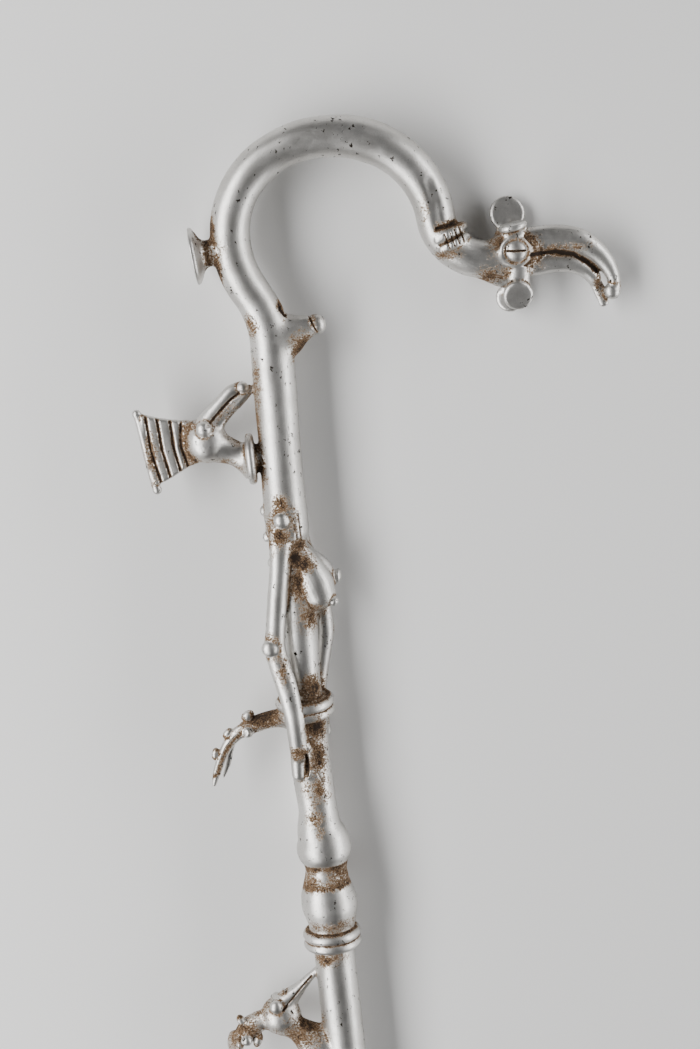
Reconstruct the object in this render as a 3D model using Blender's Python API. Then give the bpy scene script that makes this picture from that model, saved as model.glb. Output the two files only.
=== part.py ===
"""A ceremonial staff, cast in one piece in a silver-coloured metal.

A long-necked, bird-headed woman rises from a plain shaft, and the neck is the staff's crook. Two small
birds' heads, a hooked tail and a shallow dish grow from the back. The staff lies on its side, with the
foot at the -Y end, the crook at the +Y end and the carved side that is seen most facing up.

Forms are laid out in millimetres in the staff's own frame: x to the front of the figure, y up the
staff from its foot, z to the near side, with the shaft's axis on x = z = 0. The finished casting is
then turned as little as it takes to lie still on the floor.
"""

import math

import bmesh
import bpy
import numpy as np
from mathutils import Matrix, Vector

MILLIMETRE = 0.001

# The shaft and its rings
SHAFT_LENGTH = 704.0
SHAFT_RADIUS = 12.5
FOOT_TAPER_LENGTH = 26.0
FOOT_RADIUS = 11.0
FOOT_RING_HEIGHT = 34.0
COIL_WIRE = 3.1
COIL_BITE = 1.0
COIL_PITCH = 5.7

# The figure, from the double ring to the root of the crook
FIGURE_HEIGHT = 346.0
BULGE_PROUD = 4.6
WAIST_INSET = 2.0
BELT_HEIGHT = 153.5
SHOULDER_HEIGHT = 269.0

# The crook
CROOK_SIZE = 60.0
NECK_LEAN = 1.9
CROOK_RADIUS = 11.6
CROOK_END_RADIUS = 11.2
BIRD_NECK_RADIUS = 10.8

# The arms
ARM_RADIUS = 5.7
WRIST_RADIUS = 4.8
ELBOW_BEAD = 5.0
SHOULDER_BEAD = 4.3

# The row of beads down the spine
SPINE_BEAD = 3.2
SPINE_BEAD_PITCH = 15.7
SPINE_BEADS = 7

# The breasts
BREAST_RADIUS = 8.2
NIPPLE_RADIUS = 4.2

# The peg under the crook
PEG_REACH = 35.0
PEG_BUTTON_RADIUS = 5.8
PEG_GROOVE = 0.9

# The dish behind the crook
DISH_RADIUS = 16.5
DISH_STANDOFF = 11.0
DISH_STEM_RADIUS = 7.6
DISH_HOLLOW = 3.6
DISH_RIM = 1.2

# The crook bird's head
HEAD_RADIUS = 13.0
HEAD_HALF_DEPTH = 10.5
EYE_RADIUS = 6.0
EYE_RING_RADIUS = 7.6
EYE_RING_WIRE = 1.5
LOBE_RADIUS = 9.0
LOBE_HALF_THICKNESS = 1.9
BEAK_LENGTH = 62.0
BEAK_HALF_DEPTH = 6.2

# The small birds and the tail on the back
UPPER_BIRD_HEIGHT = 305.0
UPPER_BIRD_SIZE = 64.0
FLANGE_RADIUS = 15.0
FLANGE_THICKNESS = 4.8
FLANGE_GAP = 1.6
LOWER_BIRD_DROP = 42.0
LOWER_BIRD_SIZE = 60.0
TAIL_SIZE = 48.0

# How far a facet may stray from the true form, and the flats that the staff lies on
FACET_ERROR = 0.25
REST_FLAT_DEPTH = 0.4
KEPT_TRIANGLES = 0.62
STEPS_PER_ARC = 12


FIGURE_FOOT = SHAFT_LENGTH
BELT = FIGURE_FOOT + BELT_HEIGHT
SHOULDER = FIGURE_FOOT + SHOULDER_HEIGHT
CROOK_ROOT = FIGURE_FOOT + FIGURE_HEIGHT

# The carving is laid out at these sizes, and each group grows with the size that it belongs to
GIRTH = SHAFT_RADIUS / 12.5
TORSO = (SHOULDER_HEIGHT - BELT_HEIGHT) / 115.5
HAND = WRIST_RADIUS / 4.8
HEAD = HEAD_RADIUS / 13.0


def through(stations, per_span=16):
    """Rows on a smooth curve through the stations, by cubic pieces that don't overshoot much."""
    rows = np.array(stations, float)
    gaps = np.linalg.norm(np.diff(rows[:, :3], axis=0), axis=1)
    at = np.concatenate([[0.0], np.cumsum(gaps)])
    slopes = np.gradient(rows, at, axis=0)
    curve = [rows[0]]
    for i, gap in enumerate(gaps):
        for k in range(1, per_span + 1):
            t = k / per_span
            curve.append(
                (2 * t**3 - 3 * t**2 + 1) * rows[i]
                + (t**3 - 2 * t**2 + t) * gap * slopes[i]
                + (3 * t**2 - 2 * t**3) * rows[i + 1]
                + (t**3 - t**2) * gap * slopes[i + 1]
            )
    return np.array(curve)


def thinned(rows, error):
    """The rows that are needed to stay within the error of them all."""
    if len(rows) < 3:
        return rows
    share = np.linspace(0.0, 1.0, len(rows))[:, None]
    length = np.linalg.norm(rows[-1, :3] - rows[0, :3])
    if length > 1e-9:
        along = (rows[:, :3] - rows[0, :3]) @ (rows[-1, :3] - rows[0, :3]) / length**2
        share = np.clip(along, 0.0, 1.0)[:, None]
    stray = np.linalg.norm(rows - (rows[0] + share * (rows[-1] - rows[0])), axis=1)
    worst = int(stray.argmax())
    if stray[worst] <= error:
        return rows[[0, -1]]
    first = thinned(rows[: worst + 1], error)
    return np.concatenate([first[:-1], thinned(rows[worst:], error)])


def arcs(start, heading, bends):
    """Points along a chain of arcs in the x-y plane, each a (length, turn in degrees)."""
    x, y = start
    angle = math.radians(heading)
    points = [(x, y)]
    for length, turn in bends:
        step = length / STEPS_PER_ARC
        swing = math.radians(turn) / STEPS_PER_ARC
        for _ in range(STEPS_PER_ARC):
            angle += swing / 2
            x += step * math.cos(angle)
            y += step * math.sin(angle)
            angle += swing / 2
            points.append((x, y))
    return points


def mesh_object(name, points, faces):
    """A helper solid in millimetres, kept out of the render until it is fused."""
    mesh = bpy.data.meshes.new(name)
    mesh.from_pydata([tuple(p) for p in points], [], faces)
    shape = bmesh.new()
    shape.from_mesh(mesh)
    bmesh.ops.recalc_face_normals(shape, faces=shape.faces)
    if shape.calc_volume(signed=True) < 0:
        bmesh.ops.reverse_faces(shape, faces=shape.faces)
    shape.to_mesh(mesh)
    shape.free()
    helper = bpy.data.objects.new(name, mesh)
    helper.hide_render = True
    helper.display_type = "WIRE"
    bpy.context.scene.collection.objects.link(helper)
    return helper


def skin(name, rings, start_point, end_point):
    """A closed solid over rings of equal count, with a point beyond each end."""
    count = len(rings[0])
    points = [p for ring in rings for p in ring]
    faces = []
    for i in range(len(rings) - 1):
        for j in range(count):
            a, b = i * count + j, i * count + (j + 1) % count
            faces.append((a, b, b + count, a + count))
    points += [start_point, end_point]
    first, last = len(points) - 2, len(points) - 1
    top = (len(rings) - 1) * count
    for j in range(count):
        faces.append((j, first, (j + 1) % count))
        faces.append((top + j, top + (j + 1) % count, last))
    return mesh_object(name, points, faces)


def domed(rows, at_start, at_end, steps=3):
    """The rows with quarter-round ends added, where an end isn't flat."""
    parts = [rows]
    for wanted, end, before in ((at_start, 0, 1), (at_end, -1, -2)):
        if not wanted:
            continue
        out = rows[end, :3] - rows[before, :3]
        out /= np.linalg.norm(out)
        reach = min(rows[end, 3], rows[end, 4])
        cap = []
        for k in range(1, steps + 1):
            angle = math.pi / 2 * k / (steps + 0.35)
            row = rows[end].copy()
            row[:3] += out * reach * math.sin(angle)
            row[3:] *= math.cos(angle)
            cap.append(row)
        parts = [np.array(cap[::-1])] + parts if end == 0 else parts + [np.array(cap)]
    return np.concatenate(parts)


def limb(name, stations, sides=10, ends="|o", error=FACET_ERROR, smooth=True):
    """A rod through stations (x, y, z, half width across the picture, half depth in z).

    Each end is "o" for a round end or "|" for a flat one.
    """
    rows = through(stations) if smooth else np.array(stations, float)
    rows = domed(thinned(rows, error), ends[0] == "o", ends[1] == "o")
    tangents = np.gradient(rows[:, :3], axis=0)
    tangents /= np.linalg.norm(tangents, axis=1)[:, None]
    rings = []
    for row, tangent in zip(rows, tangents):
        deep = np.array([0.0, 0.0, 1.0]) - tangent[2] * tangent
        if np.linalg.norm(deep) < 0.3:
            deep = np.array([0.0, 1.0, 0.0]) - tangent[1] * tangent
        deep /= np.linalg.norm(deep)
        wide = np.cross(deep, tangent)
        ring = []
        for j in range(sides):
            angle = 2 * math.pi * (j + 0.37) / sides
            offset = wide * row[3] * math.cos(angle) + deep * row[4] * math.sin(angle)
            ring.append(row[:3] + offset)
        rings.append(ring)
    tip_reach = 0.04
    start = rows[0, :3] - tangents[0] * rows[0, 3] * tip_reach * (ends[0] == "o")
    end = rows[-1, :3] + tangents[-1] * rows[-1, 3] * tip_reach * (ends[1] == "o")
    return skin(name, rings, start, end)


def turned(name, origin, axis, profile, sides=16):
    """A solid of revolution through (distance along the axis, radius), closed by a point at each end."""
    axis = Vector(axis).normalized()
    turn = axis.to_track_quat("Z", "Y").to_matrix()
    origin = Vector(origin)
    rings = []
    for distance, radius in profile[1:-1]:
        ring = []
        for j in range(sides):
            angle = 2 * math.pi * j / sides
            local = Vector((radius * math.cos(angle), radius * math.sin(angle), distance))
            ring.append(origin + turn @ local)
        rings.append(ring)
    start = origin + axis * profile[0][0]
    end = origin + axis * profile[-1][0]
    return skin(name, rings, start, end)


def bead(name, centre, axis, radius, half_height, sides=10, bands=5):
    """A ball, flattened or drawn out along its axis."""
    profile = []
    for k in range(bands + 2):
        angle = math.pi * k / (bands + 1)
        profile.append((-half_height * math.cos(angle), radius * math.sin(angle)))
    return turned(name, centre, axis, profile, sides)


def coil(name, centre, radius, wire, axis=(0, 1, 0), sides=18, wire_sides=6):
    """A closed ring of round wire."""
    turn = Vector(axis).normalized().to_track_quat("Z", "Y").to_matrix()
    points = []
    faces = []
    for i in range(sides):
        around = 2 * math.pi * i / sides
        for j in range(wire_sides):
            angle = 2 * math.pi * j / wire_sides
            reach = radius + wire * math.cos(angle)
            local = (reach * math.cos(around), reach * math.sin(around), wire * math.sin(angle))
            points.append(Vector(centre) + turn @ Vector(local))
            a = i * wire_sides + j
            b = i * wire_sides + (j + 1) % wire_sides
            c = ((i + 1) % sides) * wire_sides + (j + 1) % wire_sides
            d = ((i + 1) % sides) * wire_sides + j
            faces.append((a, b, c, d))
    return mesh_object(name, points, faces)


def disc(name, centre, normal, radius, half_thickness, sides=16):
    """A round plate with a soft rim."""
    edge = half_thickness * 0.55
    profile = (
        (-half_thickness, 0.0),
        (-half_thickness, radius - edge),
        (-half_thickness + edge, radius),
        (half_thickness - edge, radius),
        (half_thickness, radius - edge),
        (half_thickness, 0.0),
    )
    return turned(name, centre, normal, profile, sides)


def slab(name, outline, half_depth, edge_share=0.6):
    """A plate in the x-y plane with this outline, thinner at its edge than inside."""
    outline = np.array(outline, float)
    middle = outline.mean(axis=0)
    inset = middle + (outline - middle) * 0.93
    rings = []
    for z, line in (
        (-half_depth, inset),
        (-half_depth * edge_share, outline),
        (half_depth * edge_share, outline),
        (half_depth, inset),
    ):
        rings.append([(x, y, z) for x, y in line])
    return skin(name, rings, (*middle, -half_depth), (*middle, half_depth))


def shaft_and_trunk():
    """The plain shaft and everything that is turned with it, up to the root of the crook."""
    r = SHAFT_RADIUS
    # Rows of (share of the way from the double ring to the belt, lean forward, radius beyond the shaft's)
    hips = (
        (0.074, 0.0, 0.9),
        (0.124, 0.4, 2.9),
        (0.174, 0.3, BULGE_PROUD / GIRTH),
        (0.216, 0.0, BULGE_PROUD * 0.9 / GIRTH),
        (0.261, 0.1, 2.2),
        (0.300, 0.4, 0.6),
        (0.329, 0.6, 0.1),
        (0.354, 0.7, 0.9),
        (0.383, 0.6, 3.2),
        (0.415, 0.6, BULGE_PROUD * 0.87 / GIRTH),
        (0.451, 0.5, 3.1),
        (0.496, -0.5, 1.2),
        (0.564, -0.4, -0.6),
        (0.631, -0.7, -0.7),
        (0.710, -1.2, -0.6),
        (0.800, -1.0, -0.9),
        (0.879, -0.9, -0.5),
        (0.958, -0.8, -0.4),
        (1.0, -1.0, -1.4),
    )
    waist = -WAIST_INSET / GIRTH
    # The same from the belt to the shoulders, and from there to the root of the crook
    body = (
        (0.104, -0.9, waist),
        (0.346, 0.2, waist + 0.2),
        (0.606, 1.2, waist + 0.6),
        (0.775, 0.2, waist - 0.2),
        (0.870, 0.0, waist + 0.3),
        (0.913, 0.0, 0.1),
        (0.965, 0.0, 0.4),
    )
    neck = (
        (0.156, 0.1, 0.1),
        (0.494, 0.8, -0.3),
        (1.0, NECK_LEAN / GIRTH, 0.1),
    )
    free = [(0.0, FIGURE_FOOT, r)]
    for rows, foot, top in (
        (hips, FIGURE_FOOT, BELT),
        (body, BELT, SHOULDER),
        (neck, SHOULDER, CROOK_ROOT),
    ):
        for share, lean, extra in rows:
            free.append((lean * GIRTH, foot + share * (top - foot), r + extra * GIRTH))
    foot = (
        (0.0, 0.0, FOOT_RADIUS * 0.86),
        (0.0, FOOT_RADIUS * 0.18, FOOT_RADIUS),
        (0.0, FOOT_TAPER_LENGTH, r),
    )
    straight = np.array([(x, y, 0.0, w, w) for x, y, w in foot])
    return np.concatenate([straight, through([(x, y, 0.0, w, w) for x, y, w in free])])


def crook_line():
    """The crook's centreline with its half sizes, from the neck's root to the bird's head."""
    unit = CROOK_SIZE / 60.0
    bends = (
        (22, 0),
        (30, 29),
        (7, 2),
        (28, -28),
        (62, -68),
        (54, -46),
        (60, -63),
        (42, 84),
        (19, 20),
    )
    radii = (
        SHAFT_RADIUS * 1.008,
        SHAFT_RADIUS,
        CROOK_RADIUS * 0.983,
        CROOK_RADIUS * 0.991,
        CROOK_RADIUS * 0.991,
        CROOK_RADIUS * 0.974,
        CROOK_RADIUS * 1.06,
        CROOK_END_RADIUS,
        BIRD_NECK_RADIUS,
        HEAD_RADIUS * 0.892,
    )
    scaled = [(length * unit, turn) for length, turn in bends]
    points = arcs((NECK_LEAN, CROOK_ROOT), 88.0, scaled)
    stops = np.arange(len(radii)) * STEPS_PER_ARC
    widths = np.interp(np.arange(len(points)), stops, radii)
    return np.array([(x, y, 0.0, w, w) for (x, y), w in zip(points, widths)])


def head_centre(line):
    """The middle of the crook bird's head in the picture plane."""
    return line[-1, 0] - 4.0 * HEAD, line[-1, 1] - 1.0 * HEAD


def trunk_and_crook():
    rows = np.concatenate([shaft_and_trunk()[:-1], crook_line()])
    return limb("trunk", rows, sides=18, ends="|o", smooth=False)


def turns(name, centre, count, axis=(0, 1, 0)):
    """Turns of round wire side by side round the trunk, with solid metal under them."""
    reach = SHAFT_RADIUS + COIL_WIRE - COIL_BITE
    meet = math.degrees(math.asin(COIL_PITCH / 2 / COIL_WIRE))
    profile = []
    for k in range(count):
        middle = (k - (count - 1) / 2) * COIL_PITCH
        low = -125 if k == 0 else -meet
        high = 125 if k == count - 1 else meet
        for angle in np.radians(np.linspace(low, high, 7)):
            along = middle + COIL_WIRE * math.sin(angle)
            profile.append((along, reach + COIL_WIRE * math.cos(angle)))
    profile = [(profile[0][0], 0.0), *profile, (profile[-1][0], 0.0)]
    return turned(name, centre, axis, profile, 20)


def rings():
    """The foot ring, the double ring under the bulges and the double belt."""
    ring_middle = FIGURE_FOOT + COIL_WIRE + COIL_PITCH / 2
    return [
        turns("foot_ring", (0, FOOT_RING_HEIGHT, 0), 1),
        turns("double_ring", (-0.3 * GIRTH, ring_middle, 0), 2),
        turns("belt", (-1.2 * GIRTH, BELT, 0), 2, (0.0, 1, 0.1)),
    ]


def spine():
    made = []
    top = SHOULDER + SPINE_BEAD * 1.4
    for k in range(SPINE_BEADS):
        x = -SHAFT_RADIUS if k < 2 else -SHAFT_RADIUS * 0.9
        centre = (x, top - k * SPINE_BEAD_PITCH, 0)
        made.append(bead(f"spine_bead_{k}", centre, (1, 0, 0), SPINE_BEAD, SPINE_BEAD * 0.81, 8, 3))
    return made


def arm(side, stations, hand, thumb):
    """An arm with its hand on the side given by its sign.

    Stations are (x, height above the belt, z, half width, half depth). Widths are shares of the arm's
    radius in the arm, and of the wrist's in the hand and thumb.
    """
    name = "near" if side > 0 else "far"

    def placed(rows, width):
        return [
            (x * GIRTH, BELT + y * TORSO, side * z * GIRTH, w * width, d * width)
            for x, y, z, w, d in rows
        ]

    return [
        limb(f"{name}_arm", placed(stations, ARM_RADIUS), ends="o|"),
        limb(f"{name}_hand", placed(hand, HAND)),
        limb(f"{name}_thumb", placed(thumb, HAND), sides=8),
    ]


def arms():
    wrist = WRIST_RADIUS / ARM_RADIUS
    near = (
        (-4.0, 110.0, 8.0, 1.2, 0.8),
        (-5.0, 102.0, 9.4, 1.15, 0.85),
        (-6.2, 92.0, 10.4, 1.05, 0.9),
        (-10.4, 67.5, 11.4, 1.03, 0.95),
        (-13.4, 50.0, 12.4, 1.03, 0.95),
        (-14.7, 40.0, 13.0, 1.1, 0.95),
        (-13.2, 30.0, 13.4, 1.1, 0.9),
        (-10.2, 16.0, 14.0, 1.1, 0.85),
        (-7.9, -3.0, 15.6, wrist * 1.16, 0.82),
        (-7.5, -19.0, 12.8, wrist * 1.14, 0.8),
        (-7.8, -27.0, 11.4, wrist * 1.04, 0.75),
    )
    near_hand = (
        (-8.3, -24.0, 11.2, 4.4, 4.0),
        (-8.9, -33.0, 9.8, 4.3, 3.9),
        (-9.3, -39.6, 9.2, 4.0, 3.8),
    )
    near_thumb = (
        (-3.6, -17.0, 12.0, 1.5, 2.8),
        (-0.8, -27.0, 11.4, 1.7, 2.8),
        (-0.9, -35.0, 10.8, 1.7, 2.6),
        (-3.6, -41.0, 10.4, 1.6, 2.5),
    )
    far = (
        (2.5, 110.0, 8.4, 1.2, 0.8),
        (5.5, 100.0, 9.0, 1.1, 0.85),
        (10.0, 84.0, 9.6, 1.02, 0.9),
        (15.0, 55.0, 9.6, 1.0, 0.95),
        (14.6, 41.0, 11.4, 1.06, 0.95),
        (11.8, 28.0, 12.4, 1.0, 0.9),
        (7.4, 4.0, 14.6, wrist * 1.04, 0.82),
        (7.2, -12.0, 11.6, wrist, 0.8),
        (8.0, -20.0, 9.4, wrist * 0.95, 0.75),
    )
    far_hand = (
        (7.9, -14.0, 9.2, 3.8, 3.8),
        (7.4, -24.0, 7.8, 3.5, 3.8),
        (7.0, -31.0, 7.2, 3.1, 3.7),
    )
    far_thumb = (
        (3.6, -12.0, 12.4, 1.6, 3.0),
        (2.6, -23.0, 11.4, 2.1, 3.0),
        (3.2, -33.0, 10.4, 1.8, 2.6),
    )
    made = arm(1, near, near_hand, near_thumb) + arm(-1, far, far_hand, far_thumb)
    for name, side, x, elbow in (
        ("near", 1, -2.9, (-17.4, 41.0, 15.6)),
        ("far", -1, 1.5, (16.6, 43.0, 14.4)),
    ):
        shoulder = (x * GIRTH, SHOULDER, side * SHAFT_RADIUS * 0.97)
        made.append(
            bead(f"{name}_shoulder_bead", shoulder, (0, 0, 1), SHOULDER_BEAD, SHOULDER_BEAD * 0.75)
        )
        ex, ey, ez = elbow
        centre = (ex * GIRTH, BELT + ey * TORSO, side * ez * GIRTH)
        made.append(bead(f"{name}_elbow_bead", centre, (0, 0, 1), ELBOW_BEAD, ELBOW_BEAD * 0.86))
    return made


def breasts():
    """Two pointed breasts under a sloping chest, the near one lower than the far one."""
    b = BREAST_RADIUS
    u = b / 8.2

    def placed(rows):
        return [(x * u, SHOULDER - down * u, z * u, w * b, d * b) for x, down, z, w, d in rows]

    near = (
        (4.5, 23.0, 1.6, 1.02, 0.95),
        (9.6, 33.0, 2.6, 1.16, 1.06),
        (13.2, 42.5, 3.6, 1.29, 1.22),
        (14.8, 47.6, 3.8, 1.2, 1.15),
    )
    far = (
        (1.0, 18.0, -1.0, 0.98, 1.0),
        (8.5, 27.0, -2.0, 0.95, 1.0),
        (15.2, 35.0, -3.0, 1.02, 0.95),
        (18.0, 41.0, -3.4, 0.95, 0.9),
    )
    high = (26.3 * u, SHOULDER - 39.5 * u, -3.0 * u)
    low = (22.6 * u, SHOULDER - 52.0 * u, 8.0 * u)
    n = NIPPLE_RADIUS
    return [
        limb("near_breast", placed(near), sides=12),
        limb("far_breast", placed(far), sides=12),
        bead("far_nipple", high, (1, -0.1, 0.15), n, n * 0.57, 10, 3),
        bead("near_nipple", low, (0.7, -0.7, 0.1), n * 0.7, n * 0.62, 10, 3),
    ]


def peg():
    """The broad peg at the front of the neck, with its round button."""
    u = PEG_REACH / 35.0
    b = PEG_BUTTON_RADIUS
    y = CROOK_ROOT + 30.0 * CROOK_SIZE / 60.0
    groove = 26.4 * u
    neck = (
        (2.0 * u, y - 5.0 * u, 0, 16.0 * u, SHAFT_RADIUS * 0.88),
        (9.0 * u, y - 2.2 * u, 0, 14.4 * u, SHAFT_RADIUS * 0.84),
        (15.0 * u, y - 0.3 * u, 0, 12.0 * u, 9.2 * u),
        (20.5 * u, y + 1.4 * u, 0, 8.6 * u, 7.4 * u),
        (groove, y + 2.9 * u, 0, 6.0 * u, 6.0 * u),
    )
    button = (
        (groove - 3.4 * u, y + 2.6 * u, 0, b * 0.86, b * 0.86),
        (groove + 0.2 * u, y + 2.9 * u, 0, b * 0.88, b * 0.88),
        (groove + 0.2 * u + PEG_GROOVE, y + 3.0 * u, 0, b, b),
        (PEG_REACH - 4.6 * u, y + 3.1 * u, 0, b, b),
        (PEG_REACH - 1.6 * u, y + 3.2 * u, 0, b * 0.76, b * 0.76),
        (PEG_REACH, y + 3.2 * u, 0, b * 0.31, b * 0.31),
    )
    return [
        limb("peg", neck, sides=16, ends="||"),
        limb("peg_button", button, sides=14, ends="||", smooth=False),
    ]


def dish(line):
    """The shallow dish that faces back from the crook, on its short stem."""
    back = line[np.argmin(line[:, 0])]
    x = back[0] - back[3] - DISH_STANDOFF
    h = DISH_HOLLOW
    profile = (
        (h, 0.0),
        (h * 0.92, DISH_RADIUS * 0.35),
        (h * 0.5, DISH_RADIUS * 0.7),
        (0.0, DISH_RADIUS - DISH_RIM * 0.5),
        (DISH_RIM * 0.8, DISH_RADIUS),
        (DISH_RIM * 1.9, DISH_RADIUS - DISH_RIM * 0.5),
        (h * 0.5 + DISH_RIM * 1.83, DISH_RADIUS * 0.78),
        (h + DISH_RIM * 1.67, DISH_RADIUS * 0.58),
        (h + DISH_RIM * 3.67, DISH_STEM_RADIUS),
        (DISH_STANDOFF * 1.55, DISH_STEM_RADIUS),
        (DISH_STANDOFF * 1.55, 0.0),
    )
    centre = (x, back[1] - DISH_RADIUS * 0.3, DISH_RIM * 0.5)
    return [turned("dish", centre, (1.0, 0.09, 0.0), profile, 20)]


def bend_spot(line):
    """A placing function for what is worked on the last bend of the crook."""
    anchor = line[-1 - 2 * STEPS_PER_ARC]
    u = CROOK_END_RADIUS / 11.2

    def at(x, y, z):
        return (anchor[0] + (x - 103.3) * u, anchor[1] + (y - 1136.5) * u, z * u)

    return at, u


def collar(line):
    """The tied strap behind the bird's head: two short ridges over the near side of the bend."""
    at, u = bend_spot(line)
    upper = (
        (103.0, 1124.6, 9.4),
        (106.6, 1126.4, 10.8),
        (112.0, 1128.4, 10.6),
        (117.0, 1130.2, 6.0),
        (118.0, 1130.6, 0.5),
    )
    lower = (
        (105.2, 1118.6, 9.4),
        (108.6, 1120.2, 10.8),
        (113.6, 1122.2, 10.6),
        (118.2, 1124.2, 6.0),
        (119.2, 1124.6, 0.5),
    )
    made = []
    for name, rows in (("upper", upper), ("lower", lower)):
        stations = [(*at(*row), 2.7 * u, 2.2 * u) for row in rows]
        made.append(limb(f"collar_{name}", stations, sides=8))
    return made


def lobe(name, root, centre, normal, radius, stem_radius):
    """A round paddle that widens out of a broad short stem."""
    reach = Vector(root).lerp(Vector(centre), 0.8)
    thin = min(stem_radius, LOBE_HALF_THICKNESS)
    stem = (
        (*root, stem_radius * 1.25, stem_radius),
        (*Vector(root).lerp(reach, 0.5), stem_radius * 1.05, stem_radius * 0.66),
        (*reach, stem_radius * 1.3, thin * 0.85),
    )
    return [
        limb(f"{name}_stem", stem, ends="||", smooth=False),
        disc(name, centre, normal, radius, LOBE_HALF_THICKNESS, 16),
    ]


def crook_bird(line):
    """The large bird's head at the end of the crook."""
    u = HEAD
    hx, hy = head_centre(line)
    b = BEAK_LENGTH / 62.0
    d = BEAK_HALF_DEPTH

    def placed(rows, depth=HEAD):
        return [(hx + x * u, hy + y * u, z * u, w * u, half * depth) for x, y, z, w, half in rows]

    def along_beak(rows):
        root = 12.0
        return placed([(root + x * b / u, *rest) for x, *rest in rows], d)

    head = (
        (-10, -2.4, 0, 12.4, HEAD_HALF_DEPTH / u),
        (0, 0, 0, 13.0, HEAD_HALF_DEPTH / u),
        (6.5, 0.6, 0, 12.0, HEAD_HALF_DEPTH * 0.77 / u),
    )
    throat = (
        (-27, 0.5, -0.5, 8.6, 8.6),
        (-18, -6.4, -1.5, 6.8, 7.0),
        (-9, -12.4, -3.0, 6.0, 6.0),
    )
    made = [
        limb("crook_bird_head", placed(head), sides=16, ends="||"),
        limb("throat", placed(throat), ends="oo"),
    ]
    for side in (1, -1):
        ring = (hx, hy + 2.0 * u, side * HEAD_HALF_DEPTH * 0.98)
        made.append(coil(f"eye_ring_{side}", ring, EYE_RING_RADIUS, EYE_RING_WIRE, (0, 0, 1), 20, 6))
        eye = (hx + 0.9 * u, hy + 2.2 * u, side * HEAD_HALF_DEPTH * 0.924)
        made.append(bead(f"eye_{side}", eye, (0, 0, side), EYE_RADIUS, EYE_RADIUS * 0.57, 14, 5))
    upper = (
        (-9, 6.6, 0, 7.0, 1.1),
        (0, 7.2, 0, 6.9, 1.0),
        (12, 7.0, 0, 7.0, 1.0),
        (24, 4.2, 0, 7.1, 1.0),
        (33, -1.6, 0, 6.2, 0.97),
        (40.4, -9.8, 0, 4.9, 0.92),
        (44.4, -18.4, 0, 3.4, 0.8),
        (44.8, -25.4, 0, 2.9, 0.66),
    )
    lower = (
        (-9, -7.8, 0, 6.0, 1.0),
        (0, -8.1, 0, 5.7, 0.96),
        (11, -8.1, 0, 5.0, 0.92),
        (21.5, -9.6, 0, 5.0, 0.88),
        (28.5, -13.6, 0, 4.7, 0.82),
        (32.6, -18.4, 0, 4.2, 0.76),
    )
    web = (
        (-4, -0.6, 0, 3.4, 0.58),
        (8, -0.9, 0, 3.2, 0.52),
        (17, -2.4, 0, 3.0, 0.42),
        (25, -6.0, 0, 2.8, 0.36),
        (30, -10.0, 0, 2.2, 0.3),
    )
    lip = (
        (31.8, -17.6, -1.6, 3.4, 0.5),
        (35.7, -27.0, -1.8, 3.5, 0.32),
        (37.4, -34.0, -1.2, 2.7, 0.28),
    )
    nub = (hx + 12 * u + 42.6 * b, hy - 27.0 * u, 0.6 * u)
    made += [
        limb("upper_beak", along_beak(upper), sides=12),
        limb("lower_beak", along_beak(lower), sides=10),
        limb("mouth_web", along_beak(web), sides=8, ends="||"),
        limb("lower_lip", along_beak(lip), sides=8),
        bead("beak_nub", nub, (0, 0, 1), 4.9 * u, d * 0.72, 12, 5),
    ]
    r = LOBE_RADIUS
    for name, root, centre, normal, radius, stem in (
        ("crest_far", (-5, 9, -5), (-1.0, 22.3, -8.0), (0.05, 0.2, 1), r * 1.13, 4.2),
        ("crest_near", (0.4, 8, 6), (0.1, 16.2, 9.5), (-0.13, 1, 0.05), r * 0.92, 6.4),
        ("wattle_near", (1.6, -8, 5), (-0.2, -23.0, 9.0), (0.0, -0.3, 1), r * 0.96, 6.2),
        ("wattle_far", (-3, -9, -4), (-3.5, -25.4, -6.0), (-0.1, 0.15, 1), r * 0.93, 4.6),
    ):
        ends = [(hx + x * u, hy + y * u, z * u) for x, y, z in (root, centre)]
        made += lobe(name, *ends, normal, radius, stem * u)
    return made


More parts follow.
